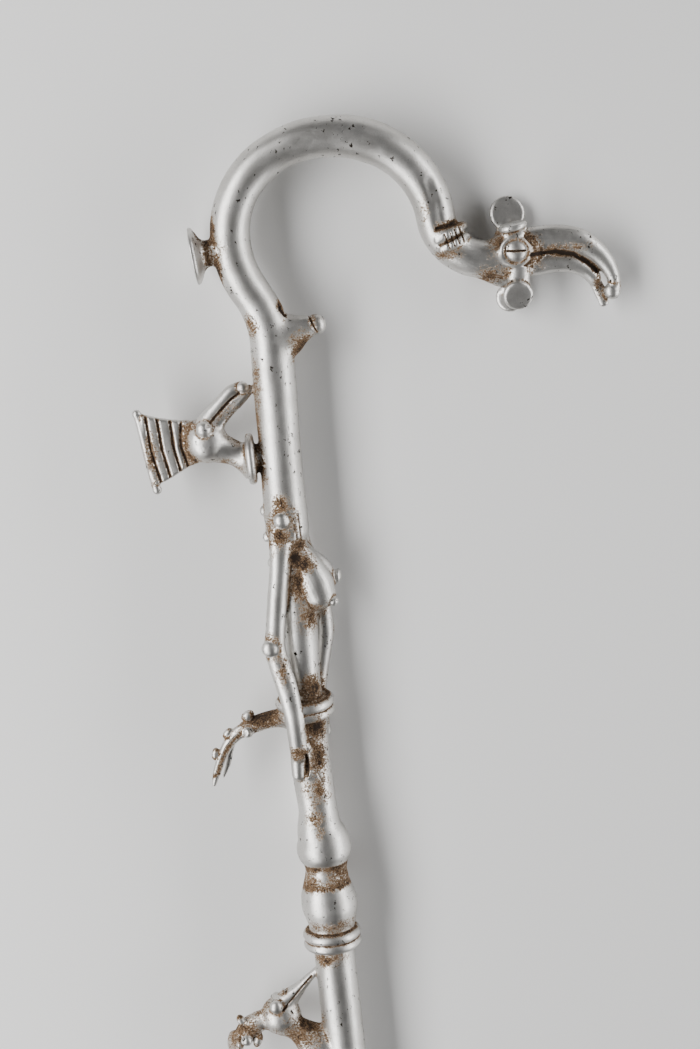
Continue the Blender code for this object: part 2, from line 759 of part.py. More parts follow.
def upper_bird():
    """The fan-crested bird's head that looks up along the neck from its flange."""
    s = UPPER_BIRD_SIZE / 64.0
    y = FIGURE_FOOT + UPPER_BIRD_HEIGHT
    left = -SHAFT_RADIUS - FLANGE_GAP
    core = SHAFT_RADIUS * 0.64

    def at(x, up, z=0.0):
        return (left + (x + 14.1) * s, y + (up - 1009.0) * s, z * s)

    flange_x = left - FLANGE_THICKNESS / 2
    neck = [
        (*at(-38.0, 1019.0), 9.6 * s, 9.0 * s),
        (*at(-29.0, 1015.2), 8.0 * s, 8.0 * s),
        (*at(-23.4, 1012.2), 7.4 * s, 7.8 * s),
        (*at(-20.6, 1010.4), 8.4 * s, 9.0 * s),
        (*at(-18.8, 1009.8), 10.6 * s, 10.6 * s),
        (*at(-17.0, 1009.3), 12.4 * s, 12.4 * s),
    ]
    made = [
        disc("flange", (flange_x, y, 0), (1, 0, 0), FLANGE_RADIUS, FLANGE_THICKNESS / 2, 20),
        limb("upper_bird_neck", neck, sides=12, ends="o|"),
        limb(
            "flange_core",
            ((flange_x, y, 0, core, core), (-SHAFT_RADIUS * 0.6, y, 0, core, core)),
            sides=12,
            ends="||",
            smooth=False,
        ),
        bead("upper_bird_head", at(-40.7, 1021.6), (0, 0, 1), 12.4 * s, 11.0 * s, 14, 7),
        limb(
            "upper_bird_upper_beak",
            (
                (*at(-41.0, 1028.0), 8.6 * s, 7.6 * s),
                (*at(-36.0, 1036.6), 5.8 * s, 5.6 * s),
                (*at(-29.4, 1043.8), 4.5 * s, 4.6 * s),
                (*at(-22.8, 1049.8), 3.8 * s, 3.8 * s),
                (*at(-17.4, 1051.6), 3.2 * s, 3.2 * s),
            ),
            sides=10,
        ),
        limb(
            "upper_bird_lower_beak",
            (
                (*at(-36.6, 1027.0), 5.4 * s, 6.0 * s),
                (*at(-31.8, 1032.8), 3.8 * s, 4.6 * s),
                (*at(-26.2, 1038.0), 3.1 * s, 3.6 * s),
                (*at(-19.6, 1043.2), 2.9 * s, 3.4 * s),
                (*at(-13.0, 1049.6), 2.8 * s, 3.0 * s),
            ),
            sides=10,
        ),
        limb(
            "upper_bird_mouth_web",
            (
                (*at(-38.0, 1030.0), 3.4 * s, 3.6 * s),
                (*at(-30.4, 1037.8), 2.8 * s, 2.6 * s),
                (*at(-24.6, 1043.0), 2.4 * s, 2.2 * s),
                (*at(-17.6, 1048.4), 2.4 * s, 2.2 * s),
            ),
            sides=8,
        ),
        bead("upper_bird_seed", at(-16.6, 1051.4, 1.4), (0, 0, 1), 3.2 * s, 3.4 * s, 10, 4),
    ]
    for side in (1, -1):
        eye = at(-41.2, 1030.6, 8.8 * side)
        made.append(bead(f"upper_bird_eye_{side}", eye, (0, 0, side), 4.6 * s, 4.0 * s, 10, 4))
    fan = (
        (-43.0, 1034.6),
        (-54.8, 1035.8),
        (-66.1, 1038.2),
        (-77.6, 1042.0),
        (-78.4, 1027.0),
        (-76.6, 1013.0),
        (-73.8, 998.6),
        (-64.7, 1002.3),
        (-52.3, 1008.7),
        (-43.0, 1011.0),
    )
    outline = [at(px, py)[:2] for px, py in fan]
    made.append(slab("fan", outline, 3.0 * s))
    bar = (
        (*at(-79.0, 1041.6), 2.2 * s, 2.2 * s),
        (*at(-77.3, 1030.0), 2.6 * s, 3.2 * s),
        (*at(-75.4, 1014.0), 2.8 * s, 3.2 * s),
        (*at(-73.0, 997.2), 2.6 * s, 2.6 * s),
    )
    made.append(limb("fan_bar", bar, sides=8))
    made.append(bead("fan_ball_top", at(-79.3, 1042.0), (0, 0, 1), 2.6 * s, 2.6 * s, 8, 3))
    made.append(bead("fan_ball_bottom", at(-72.8, 996.6), (0, 0, 1), 2.9 * s, 2.9 * s, 8, 3))
    return made, at


def fan_grooves(at):
    """Cutters for the four grooves across both faces of the fan."""
    s = UPPER_BIRD_SIZE / 64.0
    made = []
    lines = (
        ((-74.3, 1041.5), (-73.4, 1020.0), (-69.4, 999.0)),
        ((-68.0, 1040.0), (-67.0, 1020.0), (-64.0, 1001.0)),
        ((-60.6, 1038.0), (-60.0, 1020.0), (-57.6, 1004.5)),
        ((-54.3, 1036.5), (-55.9, 1021.0), (-52.8, 1008.0)),
    )
    for k, line in enumerate(lines):
        for side in (1, -1):
            stations = [(*at(px, py, 3.3 * side), 0.85 * s, 1.3 * s) for px, py in line]
            made.append(limb(f"fan_groove_{k}_{side}", stations, sides=4, ends="||", smooth=False))
    return made


def tail():
    """The hooked tail behind the waist, with two prongs and nail-shaped beads."""
    s = TAIL_SIZE / 48.0

    def at(x, up, z=0.0):
        return (-SHAFT_RADIUS + (x + 12.5) * s, BELT + (up - 857.5) * s, z * s)

    stem = (
        (*at(-8.0, 849.0), 6.6 * s, 6.0 * s),
        (*at(-18.5, 851.2), 5.6 * s, 5.4 * s),
        (*at(-25.0, 850.6), 5.2 * s, 5.2 * s),
        (*at(-31.6, 849.0), 5.0 * s, 5.4 * s),
        (*at(-38.0, 847.0), 4.5 * s, 5.0 * s),
    )
    near = (
        (*at(-36.0, 848.0, 1.6), 4.4 * s, 3.6 * s),
        (*at(-43.8, 844.2, 1.6), 4.0 * s, 3.2 * s),
        (*at(-49.6, 838.4, 1.6), 3.4 * s, 3.0 * s),
        (*at(-53.6, 831.6, 1.4), 3.0 * s, 2.8 * s),
        (*at(-56.8, 824.6, 1.2), 2.7 * s, 2.6 * s),
        (*at(-59.2, 818.4, 1.0), 2.1 * s, 2.2 * s),
        (*at(-60.4, 814.6, 1.0), 1.4 * s, 1.6 * s),
    )
    far = (
        (*at(-38.6, 846.4, -3.0), 3.4 * s, 2.6 * s),
        (*at(-45.4, 840.2, -4.4), 2.2 * s, 2.0 * s),
        (*at(-48.8, 832.2, -5.2), 1.6 * s, 1.6 * s),
        (*at(-51.0, 824.8, -5.4), 1.6 * s, 1.4 * s),
        (*at(-54.6, 817.0, -5.0), 0.9 * s, 1.0 * s),
    )
    made = [
        limb("tail_stem", stem, sides=10),
        limb("tail_near_prong", near, sides=10),
        limb("tail_far_prong", far, sides=8),
        bead("tail_bead_0", at(-35.8, 855.0, 1.5), (1, 0.55, 0), 3.0 * s, 4.2 * s, 8, 3),
        bead("tail_bead_1", at(-36.7, 845.6, 4.4), (0, 0, 1), 3.2 * s, 3.4 * s, 8, 3),
        bead("tail_bead_2", at(-48.9, 845.6, 1.5), (0.72, 0.7, 0), 2.3 * s, 3.9 * s, 8, 3),
        bead("tail_bead_3", at(-57.6, 833.6, 1.5), (0.25, 0.97, 0), 2.2 * s, 4.0 * s, 8, 3),
    ]
    return made


def lower_bird():
    """The bird's head under the double ring, whose beak touches the shaft."""
    s = LOWER_BIRD_SIZE / 60.0
    y = FIGURE_FOOT - LOWER_BIRD_DROP

    def at(x, up, z=0.0):
        return (-SHAFT_RADIUS + (x + 12.5) * s, y + (up - 662.0) * s, z * s)

    made = [
        bead("lower_bird_head", at(-36.8, 662.2), (0, 0, 1), 12.4 * s, 10.6 * s, 14, 7),
        limb(
            "lower_bird_brow",
            (
                (*at(-38.2, 664.6), 9.6 * s, 8.6 * s),
                (*at(-31.6, 671.8), 6.8 * s, 6.6 * s),
                (*at(-24.8, 677.8), 4.2 * s, 4.8 * s),
                (*at(-18.4, 683.6), 2.8 * s, 3.4 * s),
                (*at(-12.6, 688.6), 2.2 * s, 2.8 * s),
            ),
            sides=12,
        ),
        limb(
            "lower_bird_neck",
            (
                (*at(-35.0, 657.0), 8.6 * s, 8.6 * s),
                (*at(-29.6, 653.4), 7.6 * s, 7.6 * s),
                (*at(-24.6, 649.0), 8.8 * s, 7.8 * s),
                (*at(-19.0, 643.6), 12.6 * s, 8.6 * s),
                (*at(-12.0, 637.0), 18.0 * s, 9.4 * s),
                (*at(-7.0, 632.5), 20.0 * s, 9.4 * s),
            ),
            sides=12,
            ends="o|",
        ),
        limb(
            "lower_bird_crest",
            (
                (*at(-42.0, 661.0), 6.4 * s, 6.0 * s),
                (*at(-51.0, 659.4), 6.4 * s, 5.6 * s),
                (*at(-56.6, 656.2), 7.0 * s, 5.6 * s),
                (*at(-62.0, 650.6), 6.0 * s, 5.0 * s),
            ),
            sides=10,
        ),
        disc("lower_bird_cup", at(-66.8, 646.8, 0.6), (-0.86, 0.2, 0.46), 8.0 * s, 2.0 * s, 14),
        bead("lower_bird_bead_0", at(-61.6, 662.0, 1.6), (-0.35, 0.9, 0), 2.6 * s, 4.0 * s, 8, 3),
        bead("lower_bird_bead_1", at(-59.2, 650.0, 5.0), (0, 0, 1), 3.4 * s, 3.4 * s, 8, 3),
        bead("lower_bird_bead_2", at(-52.6, 648.4, 2.0), (0.4, 1, 0), 2.8 * s, 5.0 * s, 8, 3),
        bead("lower_bird_bump", at(-33.6, 677.6, 1.0), (0, 0, 1), 1.8 * s, 2.6 * s, 8, 3),
    ]
    for side, up in ((1, 671.4), (-1, 669.2)):
        eye = at(-38.8, up, 8.8 * side)
        made.append(bead(f"lower_bird_eye_{side}", eye, (0, 0, side), 4.1 * s, 3.4 * s, 10, 4))
    return made, at


def small_cuts(line, bird_at, lower_at):
    """Cutters for the slit eyes, the fan's grooves, the lower bird's mouth and the crook's notch."""
    hx, hy = head_centre(line)
    cuts = fan_grooves(bird_at)
    s = LOWER_BIRD_SIZE / 60.0
    for side in (1, -1):
        z = side * (HEAD_HALF_DEPTH + EYE_RADIUS * 0.42)
        slit = (
            (hx - EYE_RADIUS * 0.7, hy + 2.7 * HEAD, z, EYE_RADIUS * 0.092, EYE_RADIUS * 0.2),
            (hx + EYE_RADIUS, hy + 2.0 * HEAD, z, EYE_RADIUS * 0.092, EYE_RADIUS * 0.2),
        )
        cuts.append(limb(f"eye_slit_{side}", slit, sides=4, ends="||", smooth=False))
        mouth = (
            (*lower_at(-34.0, 669.4, 7.6 * side), 0.6 * s, 2.6 * s),
            (*lower_at(-25.4, 677.4, 5.2 * side), 0.6 * s, 2.4 * s),
            (*lower_at(-16.2, 686.0, 3.4 * side), 0.5 * s, 1.6 * s),
        )
        cuts.append(limb(f"lower_mouth_{side}", mouth, sides=4, ends="||", smooth=False))
    at, u = bend_spot(line)
    notch = (
        (*at(101.4, 1131.2, 12.6), 2.4 * u, 3.0 * u),
        (*at(106.0, 1131.6, 12.6), 3.0 * u, 3.6 * u),
        (*at(111.4, 1134.2, 10.8), 3.2 * u, 4.4 * u),
        (*at(116.6, 1135.8, 5.6), 2.6 * u, 3.0 * u),
    )
    cuts.append(limb("crook_notch", notch, sides=8))
    return cuts


def fused(name, parts, cuts):
    """One closed mesh from the union of the parts less the cuts."""
    body = parts[0]
    for operation, others in (("UNION", parts[1:]), ("DIFFERENCE", cuts)):
        group = bpy.data.collections.new(f"{name}_{operation.lower()}")
        for other in others:
            group.objects.link(other)
        step = body.modifiers.new(operation.lower(), "BOOLEAN")
        step.operation = operation
        step.solver = "EXACT"
        step.operand_type = "COLLECTION"
        step.collection = group
    lighten = body.modifiers.new("lighten", "DECIMATE")
    lighten.ratio = KEPT_TRIANGLES
    graph = bpy.context.evaluated_depsgraph_get()
    mesh = bpy.data.meshes.new_from_object(body.evaluated_get(graph))
    mesh.name = name
    for helper in [*parts, *cuts]:
        bpy.data.objects.remove(helper)
    for group in [g for g in bpy.data.collections if g.name.startswith(name)]:
        bpy.data.collections.remove(group)
    return mesh


def main_shell(shape):
    """Drops the specks and pockets that a fusion leaves where two curved surfaces just miss."""
    left = set(shape.verts)
    shells = []
    while left:
        reached = [left.pop()]
        for vert in reached:
            near = {edge.other_vert(vert) for edge in vert.link_edges} & left
            left -= near
            reached.extend(near)
        shells.append(reached)
    shells.sort(key=len)
    for stray in shells[:-1]:
        bmesh.ops.delete(shape, geom=stray, context="VERTS")


def unpinched(shape):
    """Closes up the hair-thin pinches, where more than two faces share one short edge."""
    for _ in range(8):
        pinches = [edge for edge in shape.edges if len(edge.link_faces) > 2]
        if not pinches:
            return
        bmesh.ops.collapse(shape, edges=pinches[:1])
        seen = {}
        for face in list(shape.faces):
            corners = frozenset(face.verts)
            if corners in seen:
                bmesh.ops.delete(shape, geom=[face, seen.pop(corners)], context="FACES_ONLY")
            else:
                seen[corners] = face
        loose = [edge for edge in shape.edges if not edge.link_faces]
        bmesh.ops.delete(shape, geom=loose, context="EDGES")


def centre_of_mass(shape):
    """The centre of mass of a closed bmesh of one density."""
    volume = 0.0
    moment = Vector((0, 0, 0))
    for face in bmesh_triangles(shape):
        a, b, c = face
        part = a.dot(b.cross(c)) / 6
        volume += part
        moment += part * (a + b + c) / 4
    return moment / volume


def bmesh_triangles(shape):
    return [[loop.vert.co for loop in loops] for loops in shape.calc_loop_triangles()]


def lie_down(mesh):
    """Turns the mesh so that it lies still: the hull's face under the centre of mass goes to the floor."""
    shape = bmesh.new()
    shape.from_mesh(mesh)
    unpinched(shape)
    main_shell(shape)
    middle = centre_of_mass(shape)
    hull = bmesh.new()
    for vert in shape.verts:
        hull.verts.new(vert.co)
    bmesh.ops.convex_hull(hull, input=hull.verts)
    best = None
    for face in hull.faces:
        normal = face.normal
        if normal.z > -0.5:
            continue
        distance = (face.verts[0].co - middle).dot(normal)
        foot = middle + distance * normal
        corners = [v.co for v in face.verts]
        inside = all(
            (corners[(i + 1) % len(corners)] - corners[i]).cross(foot - corners[i]).dot(normal) >= 0
            for i in range(len(corners))
        )
        if inside and (best is None or distance < best[0]):
            best = (distance, normal.copy())
    hull.free()
    turn = best[1].rotation_difference(Vector((0, 0, -1))).to_matrix().to_4x4()
    # The turn about the vertical is taken out again, so that the staff still points along Y.
    along = turn @ Vector((0, 1, 0))
    square = Matrix.Rotation(math.atan2(along.x, along.y), 4, "Z")
    bmesh.ops.transform(shape, matrix=square @ turn, verts=shape.verts)
    return shape


def cut_flat(shape, point, normal):
    """Removes what lies beyond the plane and closes the cut with a flat face."""
    geometry = [*shape.verts, *shape.edges, *shape.faces]
    cut = bmesh.ops.bisect_plane(
        shape, geom=geometry, plane_co=point, plane_no=normal, clear_outer=True, dist=1e-5
    )
    edges = [e for e in cut["geom_cut"] if isinstance(e, bmesh.types.BMEdge)]
    bmesh.ops.triangle_fill(shape, use_beauty=True, edges=edges, normal=normal)


def metal():
    """Satin silver-coloured cast metal."""
    material = bpy.data.materials.new("cast_silver_metal")
    material.use_nodes = True
    shader = material.node_tree.nodes["Principled BSDF"]
    shader.inputs["Base Color"].default_value = (0.62, 0.60, 0.57, 1.0)
    shader.inputs["Metallic"].default_value = 1.0
    shader.inputs["Roughness"].default_value = 0.38
    return material


def main():
    for old in list(bpy.data.objects):
        bpy.data.objects.remove(old)
    line = crook_line()
    bird, bird_at = upper_bird()
    low_bird, low_at = lower_bird()
    parts = [trunk_and_crook(), *rings(), *spine(), *arms(), *breasts(), *peg()]
    parts += [*dish(line), *collar(line), *crook_bird(line), *bird, *low_bird, *tail()]
    mesh = fused("staff_casting", parts, small_cuts(line, bird_at, low_at))

    shape = lie_down(mesh)
    low = min(v.co.z for v in shape.verts)
    butt = min(v.co.y for v in shape.verts)
    cut_flat(shape, (0, 0, low + REST_FLAT_DEPTH), (0, 0, -1))
    cut_flat(shape, (0, butt + REST_FLAT_DEPTH, 0), (0, -1, 0))

    xs = [v.co.x for v in shape.verts]
    ys = [v.co.y for v in shape.verts]
    zs = [v.co.z for v in shape.verts]
    middle = Vector(((min(xs) + max(xs)) / 2, (min(ys) + max(ys)) / 2, min(zs)))
    to_metres = Matrix.Scale(MILLIMETRE, 4) @ Matrix.Translation(-middle)
    bmesh.ops.transform(shape, matrix=to_metres, verts=shape.verts)
    bmesh.ops.triangulate(shape, faces=shape.faces)
    shape.to_mesh(mesh)
    shape.free()
    mesh.materials.clear()
    mesh.materials.append(metal())
    casting = bpy.data.objects.new("staff_casting", mesh)
    bpy.context.scene.collection.objects.link(casting)
    mesh.shade_smooth()
    mesh.set_sharp_from_angle(angle=math.radians(40))


main()
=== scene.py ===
"""Looks for the ceremonial staff: the casting in full detail, its metal, the floor, lights and camera.

The forms are laid out in millimetres in the staff's own frame, as in the CAD source: x to the front
of the figure, y up the staff from its foot, z to the near side. The finished surface is then turned
to the way the staff lies and scaled to metres.
"""

import math

import bmesh
import bpy
import numpy as np
from mathutils import Euler, Matrix, Vector


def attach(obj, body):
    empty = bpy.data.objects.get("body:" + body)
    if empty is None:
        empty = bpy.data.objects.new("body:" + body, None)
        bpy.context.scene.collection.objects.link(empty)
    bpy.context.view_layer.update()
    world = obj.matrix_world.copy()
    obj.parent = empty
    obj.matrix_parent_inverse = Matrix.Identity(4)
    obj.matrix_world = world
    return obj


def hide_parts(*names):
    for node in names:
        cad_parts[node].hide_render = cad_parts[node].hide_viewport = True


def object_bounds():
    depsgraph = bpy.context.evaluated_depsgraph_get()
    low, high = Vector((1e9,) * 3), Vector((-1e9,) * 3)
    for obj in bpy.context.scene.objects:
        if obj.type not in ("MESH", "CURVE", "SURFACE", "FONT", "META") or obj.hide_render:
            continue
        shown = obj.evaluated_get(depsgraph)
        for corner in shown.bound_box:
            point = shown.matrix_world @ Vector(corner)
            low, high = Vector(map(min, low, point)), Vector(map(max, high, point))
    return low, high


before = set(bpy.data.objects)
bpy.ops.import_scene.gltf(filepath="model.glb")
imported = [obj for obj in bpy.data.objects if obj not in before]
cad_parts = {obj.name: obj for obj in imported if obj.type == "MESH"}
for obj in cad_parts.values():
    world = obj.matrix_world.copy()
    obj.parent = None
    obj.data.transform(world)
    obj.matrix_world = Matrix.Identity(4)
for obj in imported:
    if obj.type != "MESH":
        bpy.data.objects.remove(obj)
cad_box = [list(corner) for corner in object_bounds()]

# How the staff lies: the turn from its own frame, in degrees, and the point that moves to the origin
LYING_TURN = (0.1427, 2.851, 0.0071)
LYING_MIDDLE = (61.626, 600.18, -17.193)

# The shaft, the height below which it is drawn out plain, and the heights of the rings on it
SHAFT_RADIUS = 12.5
SHAFT_START = 600.0
FOOT_RING_HEIGHT = 34.0
LOWER_RING_HEIGHT = 709.95
BAND_HEIGHT = 751.5
BELT_HEIGHT = 857.5
BELT_TILT = 0.1

# The wire that the rings are wound of: its radius, the step from one turn to the next, and how far its
# middle is from the staff's
WIRE_RADIUS = 3.1
WIRE_STEP = 5.7
WIRE_REACH = SHAFT_RADIUS + 2.1

# The spine: its beads, the height of the first, and the step down to the next
SPINE_BEADS = 7
SPINE_TOP = 977.5
SPINE_STEP = 15.7

# The surface: the size of the cells that the forms are fused in, the triangles kept of it, the rounds
# of smoothing that take out the cells' steps, and the wax fillets' rounds and greatest depth
CELL = 0.5
TRIANGLES_KEPT = 160000
SMOOTH_ROUNDS = 5
FILLET_ROUNDS = 80
FILLET_DEPTH = 1.5
SOFTEN_ROUNDS = 130

# The camera of the photograph, in the staff's own frame
CAMERA_TARGET = (36.6, 964.0, 0.0)
CAMERA_DISTANCE = 1302.2
CAMERA_TILT = 12.3
CAMERA_ROLL = 6.0
CAMERA_LENS = 76.39

# The studio, in metres: half the floor's width, how far it lies below the staff, and what is lit
FLOOR_HALF = 4.0
FLOOR_DROP = 0.0005
LIT_PLACE = (0.0, 0.35, 0.0)

# The colours of the metal and of the deposit on it; the deepest brown is near black, painted shade where
# the deposit is heaviest
PALE_SILVER = (0.68, 0.665, 0.64)
DULL_SILVER = (0.54, 0.525, 0.50)
DARK_GRAIN = (0.36, 0.345, 0.32)
TAN_FILM = (0.29, 0.21, 0.13)
BROWN = (0.215, 0.13, 0.067)
DARK_BROWN = (0.098, 0.054, 0.025)
DEEP_SHADE_BROWN = (0.018, 0.0095, 0.005)
PIT_COLOUR = (0.018, 0.012, 0.008)

# All the forms' points and faces, the places (x, y, z, radius) that keep sharp joints, and the beads
points = []
faces = []
crisp = []
beads = []


# Curves and closed forms


def through(stations, per_span=10):
    """Rows on a smooth curve through the stations, whose first three values are a place."""
    rows = np.array(stations, float)
    gaps = np.linalg.norm(np.diff(rows[:, :3], axis=0), axis=1)
    at = np.concatenate([[0.0], np.cumsum(gaps)])
    slopes = np.gradient(rows, at, axis=0)
    curve = [rows[0]]
    for i, gap in enumerate(gaps):
        for k in range(1, per_span + 1):
            t = k / per_span
            curve.append(
                (2 * t**3 - 3 * t**2 + 1) * rows[i]
                + (t**3 - 2 * t**2 + t) * gap * slopes[i]
                + (3 * t**2 - 2 * t**3) * rows[i + 1]
                + (t**3 - t**2) * gap * slopes[i + 1]
            )
    return np.array(curve)


def arcs(start, heading, bends, steps):
    """Points along a chain of arcs in the x-y plane, each a (length, turn in degrees) in equal steps."""
    x, y = start
    angle = math.radians(heading)
    line = [(x, y)]
    for length, turn in bends:
        swing = math.radians(turn) / steps
        for _ in range(steps):
            angle += swing / 2
            x += length / steps * math.cos(angle)
            y += length / steps * math.sin(angle)
            angle += swing / 2
            line.append((x, y))
    return line


def skin(rings, start, end):
    """A closed form over rings of equal count, with a point beyond each end."""
    count = len(rings[0])
    base = len(points)
    points.extend(tuple(p) for ring in rings for p in ring)
    points.extend([tuple(start), tuple(end)])
    first = base + len(rings) * count
    top = base + (len(rings) - 1) * count
    for j in range(count):
        k = (j + 1) % count
        for i in range(len(rings) - 1):
            a = base + i * count
            faces.append((a + j, a + k, a + count + k, a + count + j))
        faces.append((base + k, base + j, first))
        faces.append((top + j, top + k, first + 1))


def domed(rows, at_start, at_end, steps=9):
    """The rows with quarter-round caps added at the wanted ends."""
    parts = [rows]
    for wanted, end, before in ((at_start, 0, 1), (at_end, -1, -2)):
        if not wanted:
            continue
        out = rows[end, :3] - rows[before, :3]
        out /= np.linalg.norm(out)
        reach = min(rows[end, 3], rows[end, 4])
        cap = []
        for k in range(1, steps + 1):
            angle = math.pi / 2 * k / (steps + 0.2)
            row = rows[end].copy()
            row[:3] += out * reach * math.sin(angle)
            row[3:] *= math.cos(angle)
            cap.append(row)
        parts = [np.array(cap[::-1])] + parts if end == 0 else parts + [np.array(cap)]
    return np.concatenate(parts)


def rod(stations, ends="oo", sides=28, smooth=True):
    """A rod through stations (x, y, z, half width across the picture, half depth in z).

    Each of the two ends is "o" for a rounded one or "|" for a flat one.
    """
    rows = through(stations) if smooth else np.array(stations, float)
    rows = domed(rows, ends[0] == "o", ends[1] == "o")
    tangents = np.gradient(rows[:, :3], axis=0)
    tangents /= np.linalg.norm(tangents, axis=1)[:, None]
    rings = []
    for row, tangent in zip(rows, tangents):
        deep = np.array([0.0, 0.0, 1.0]) - tangent[2] * tangent
        if np.linalg.norm(deep) < 0.3:
            deep = np.array([0.0, 1.0, 0.0]) - tangent[1] * tangent
        deep /= np.linalg.norm(deep)
        wide = np.cross(deep, tangent)
        angles = 2 * math.pi * (np.arange(sides)[:, None] + 0.37) / sides
        rings.append(row[:3] + wide * row[3] * np.cos(angles) + deep * row[4] * np.sin(angles))
    skin(rings, rows[0, :3], rows[-1, :3])


def spun(origin, axis, profile, sides=44):
    """A solid of revolution through (distance along the axis, radius)."""
    axis = Vector(axis).normalized()
    turn = np.array(axis.to_track_quat("Z", "Y").to_matrix())
    origin = np.array(origin, float)
    angles = 2 * math.pi * (np.arange(sides) + 0.3) / sides
    rings = []
    for distance, radius in profile:
        radius = max(radius, 0.02)
        local = np.stack([radius * np.cos(angles), radius * np.sin(angles), np.full(sides, distance)])
        rings.append(origin + (turn @ local).T)
    skin(rings, origin + np.array(axis) * profile[0][0], origin + np.array(axis) * profile[-1][0])


def ball(centre, axis, radius, half_height, rows=17):
    """A ball, drawn out or flattened along its axis."""
    steps = [math.pi * k / rows for k in range(1, rows)]
    spun(centre, axis, [(-half_height * math.cos(a), radius * math.sin(a)) for a in steps])


def bead(centre, axis, radius, half_height):
    """A small ball that sits crisply on what carries it, with no fillet."""
    ball(centre, axis, radius, half_height)
    crisp.append((*centre, max(radius, half_height) + 0.6))
    beads.append((centre, radius))


def wire_ring(centre, radius, wire, sides=56, around=14):
    """A closed ring of round wire in the plane of the picture."""
    base = len(points)
    x, y, z = centre
    for i in range(sides):
        a = 2 * math.pi * i / sides
        for j in range(around):
            b = 2 * math.pi * j / around
            reach = radius + wire * math.cos(b)
            points.append((x + reach * math.cos(a), y + reach * math.sin(a), z + wire * math.sin(b)))
            i2, j2 = (i + 1) % sides, (j + 1) % around
            corners = ((i, j), (i, j2), (i2, j2), (i2, j))
            faces.append(tuple(base + p * around + q for p, q in corners))
    crisp.append((x, y, z, radius + wire + 0.5))


def plate(centre, normal, radius, half_thickness, edge_share=0.55):
    """A round plate with a soft rim."""
    h, edge = half_thickness, half_thickness * edge_share
    half = ((h, 0.1), (h, radius - edge), (h - 0.3 * edge, radius - 0.3 * edge), (h - edge, radius))
    spun(centre, normal, [(-along, across) for along, across in half] + list(half[::-1]))


def slab(outline, half_depth, edge_share=0.6):
    """A plate in the x-y plane with this outline, thinner at its edge than inside."""
    outline = np.array(outline, float)
    middle = outline.mean(axis=0)
    rings = []
    for z, share in ((-1, 0.93), (-edge_share, 1.0), (edge_share, 1.0), (1, 0.93)):
        ring = middle + (outline - middle) * share
        rings.append(np.column_stack([ring, np.full(len(ring), z * half_depth)]))
    skin(rings, (*middle, -half_depth), (*middle, half_depth))


def wire_turns(centre, count, axis=(0, 1, 0)):
    """Turns of round wire side by side round the trunk."""
    meet = math.degrees(math.asin(WIRE_STEP / 2 / WIRE_RADIUS))
    profile = []
    for k in range(count):
        middle = (k - (count - 1) / 2) * WIRE_STEP
        low = -125 if k == 0 else -meet
        high = 125 if k == count - 1 else meet
        for angle in np.radians(np.linspace(low, high, 19)):
            radius = WIRE_REACH + WIRE_RADIUS * math.cos(angle)
            profile.append((middle + WIRE_RADIUS * math.sin(angle), radius))
    profile = [(profile[0][0], 0.0), *profile, (profile[-1][0], 0.0)]
    spun(centre, axis, profile, 72)


# The staff's forms


def trunk_and_crook():
    """The shaft from its cut, the bulges, the figure's body, its neck and the crook."""
    r = SHAFT_RADIUS
    # Up the trunk: hundredths of its height, the shift in x and what the radius gains
    shape = (
        (3.3, 0.0, 0.9), (5.5, 0.4, 2.9), (7.7, 0.3, 4.6),
        (9.6, 0.0, 4.14), (11.6, 0.1, 2.2), (13.3, 0.4, 0.6),
        (14.6, 0.6, 0.1), (15.7, 0.7, 0.9), (17.0, 0.6, 3.2),
        (18.4, 0.6, 4.0), (20.0, 0.5, 3.1), (22.0, -0.5, 1.2),
        (25.0, -0.4, -0.6), (28.0, -0.7, -0.7), (31.5, -1.2, -0.6),
        (35.5, -1.0, -0.9), (39.0, -0.9, -0.5), (42.5, -0.8, -0.4),
        (44.4, -1.0, -1.4), (47.8, -0.9, -2.0), (55.9, 0.2, -1.8),
        (64.6, 1.2, -1.4), (70.2, 0.2, -2.2), (73.4, 0.0, -1.7),
        (74.9, 0.0, 0.1), (76.6, 0.0, 0.4), (81.2, 0.1, 0.1),
        (88.7, 0.8, -0.3), (100.0, 1.9, 0.1),
    )
    foot, hundredth = 704, 3.46
    body = [(dx, foot + hundredth * share, 0.0, r + extra, r + extra) for share, dx, extra in shape]
    body = through([(0, foot - 14, 0, r, r), (0, foot, 0, r, r), *body])
    # The crook's arcs, each a (length, turn in degrees), and its radius at the ends of the arcs
    bends = ((22, 0), (30, 29), (7, 2), (28, -28), (62, -68), (54, -46), (60, -63), (42, 84), (19, 20))
    widths = (12.6, 12.5, 11.4, 11.5, 11.5, 11.3, 12.3, 11.2, 10.8, 11.6)
    steps = 12
    line = arcs((1.9, 1050.0), 88.0, bends, steps)
    widths = np.interp(np.arange(len(line)), np.arange(len(widths)) * steps, widths)
    crook = np.array([(x, y, 0.0, w, w) for (x, y), w in zip(line, widths)])
    below = [(0, y, 0, r, r) for y in (SHAFT_START - 12, SHAFT_START + 40)]
    rod(np.concatenate([below, body[:-1], crook]), "|o", sides=64, smooth=False)
    return crook


def rings_and_spine():
    """The lower ring and the belt, each of two turns of wire, and the beads down the spine."""
    wire_turns((-0.3, LOWER_RING_HEIGHT, 0), 2)
    wire_turns((-1.2, BELT_HEIGHT, 0), 2, (0.0, 1, BELT_TILT))
    for k in range(SPINE_BEADS):
        x = -12.5 if k < 2 else -11.3
        bead((x, SPINE_TOP - SPINE_STEP * k, 0), (1, 0, 0), 3.2, 2.6)


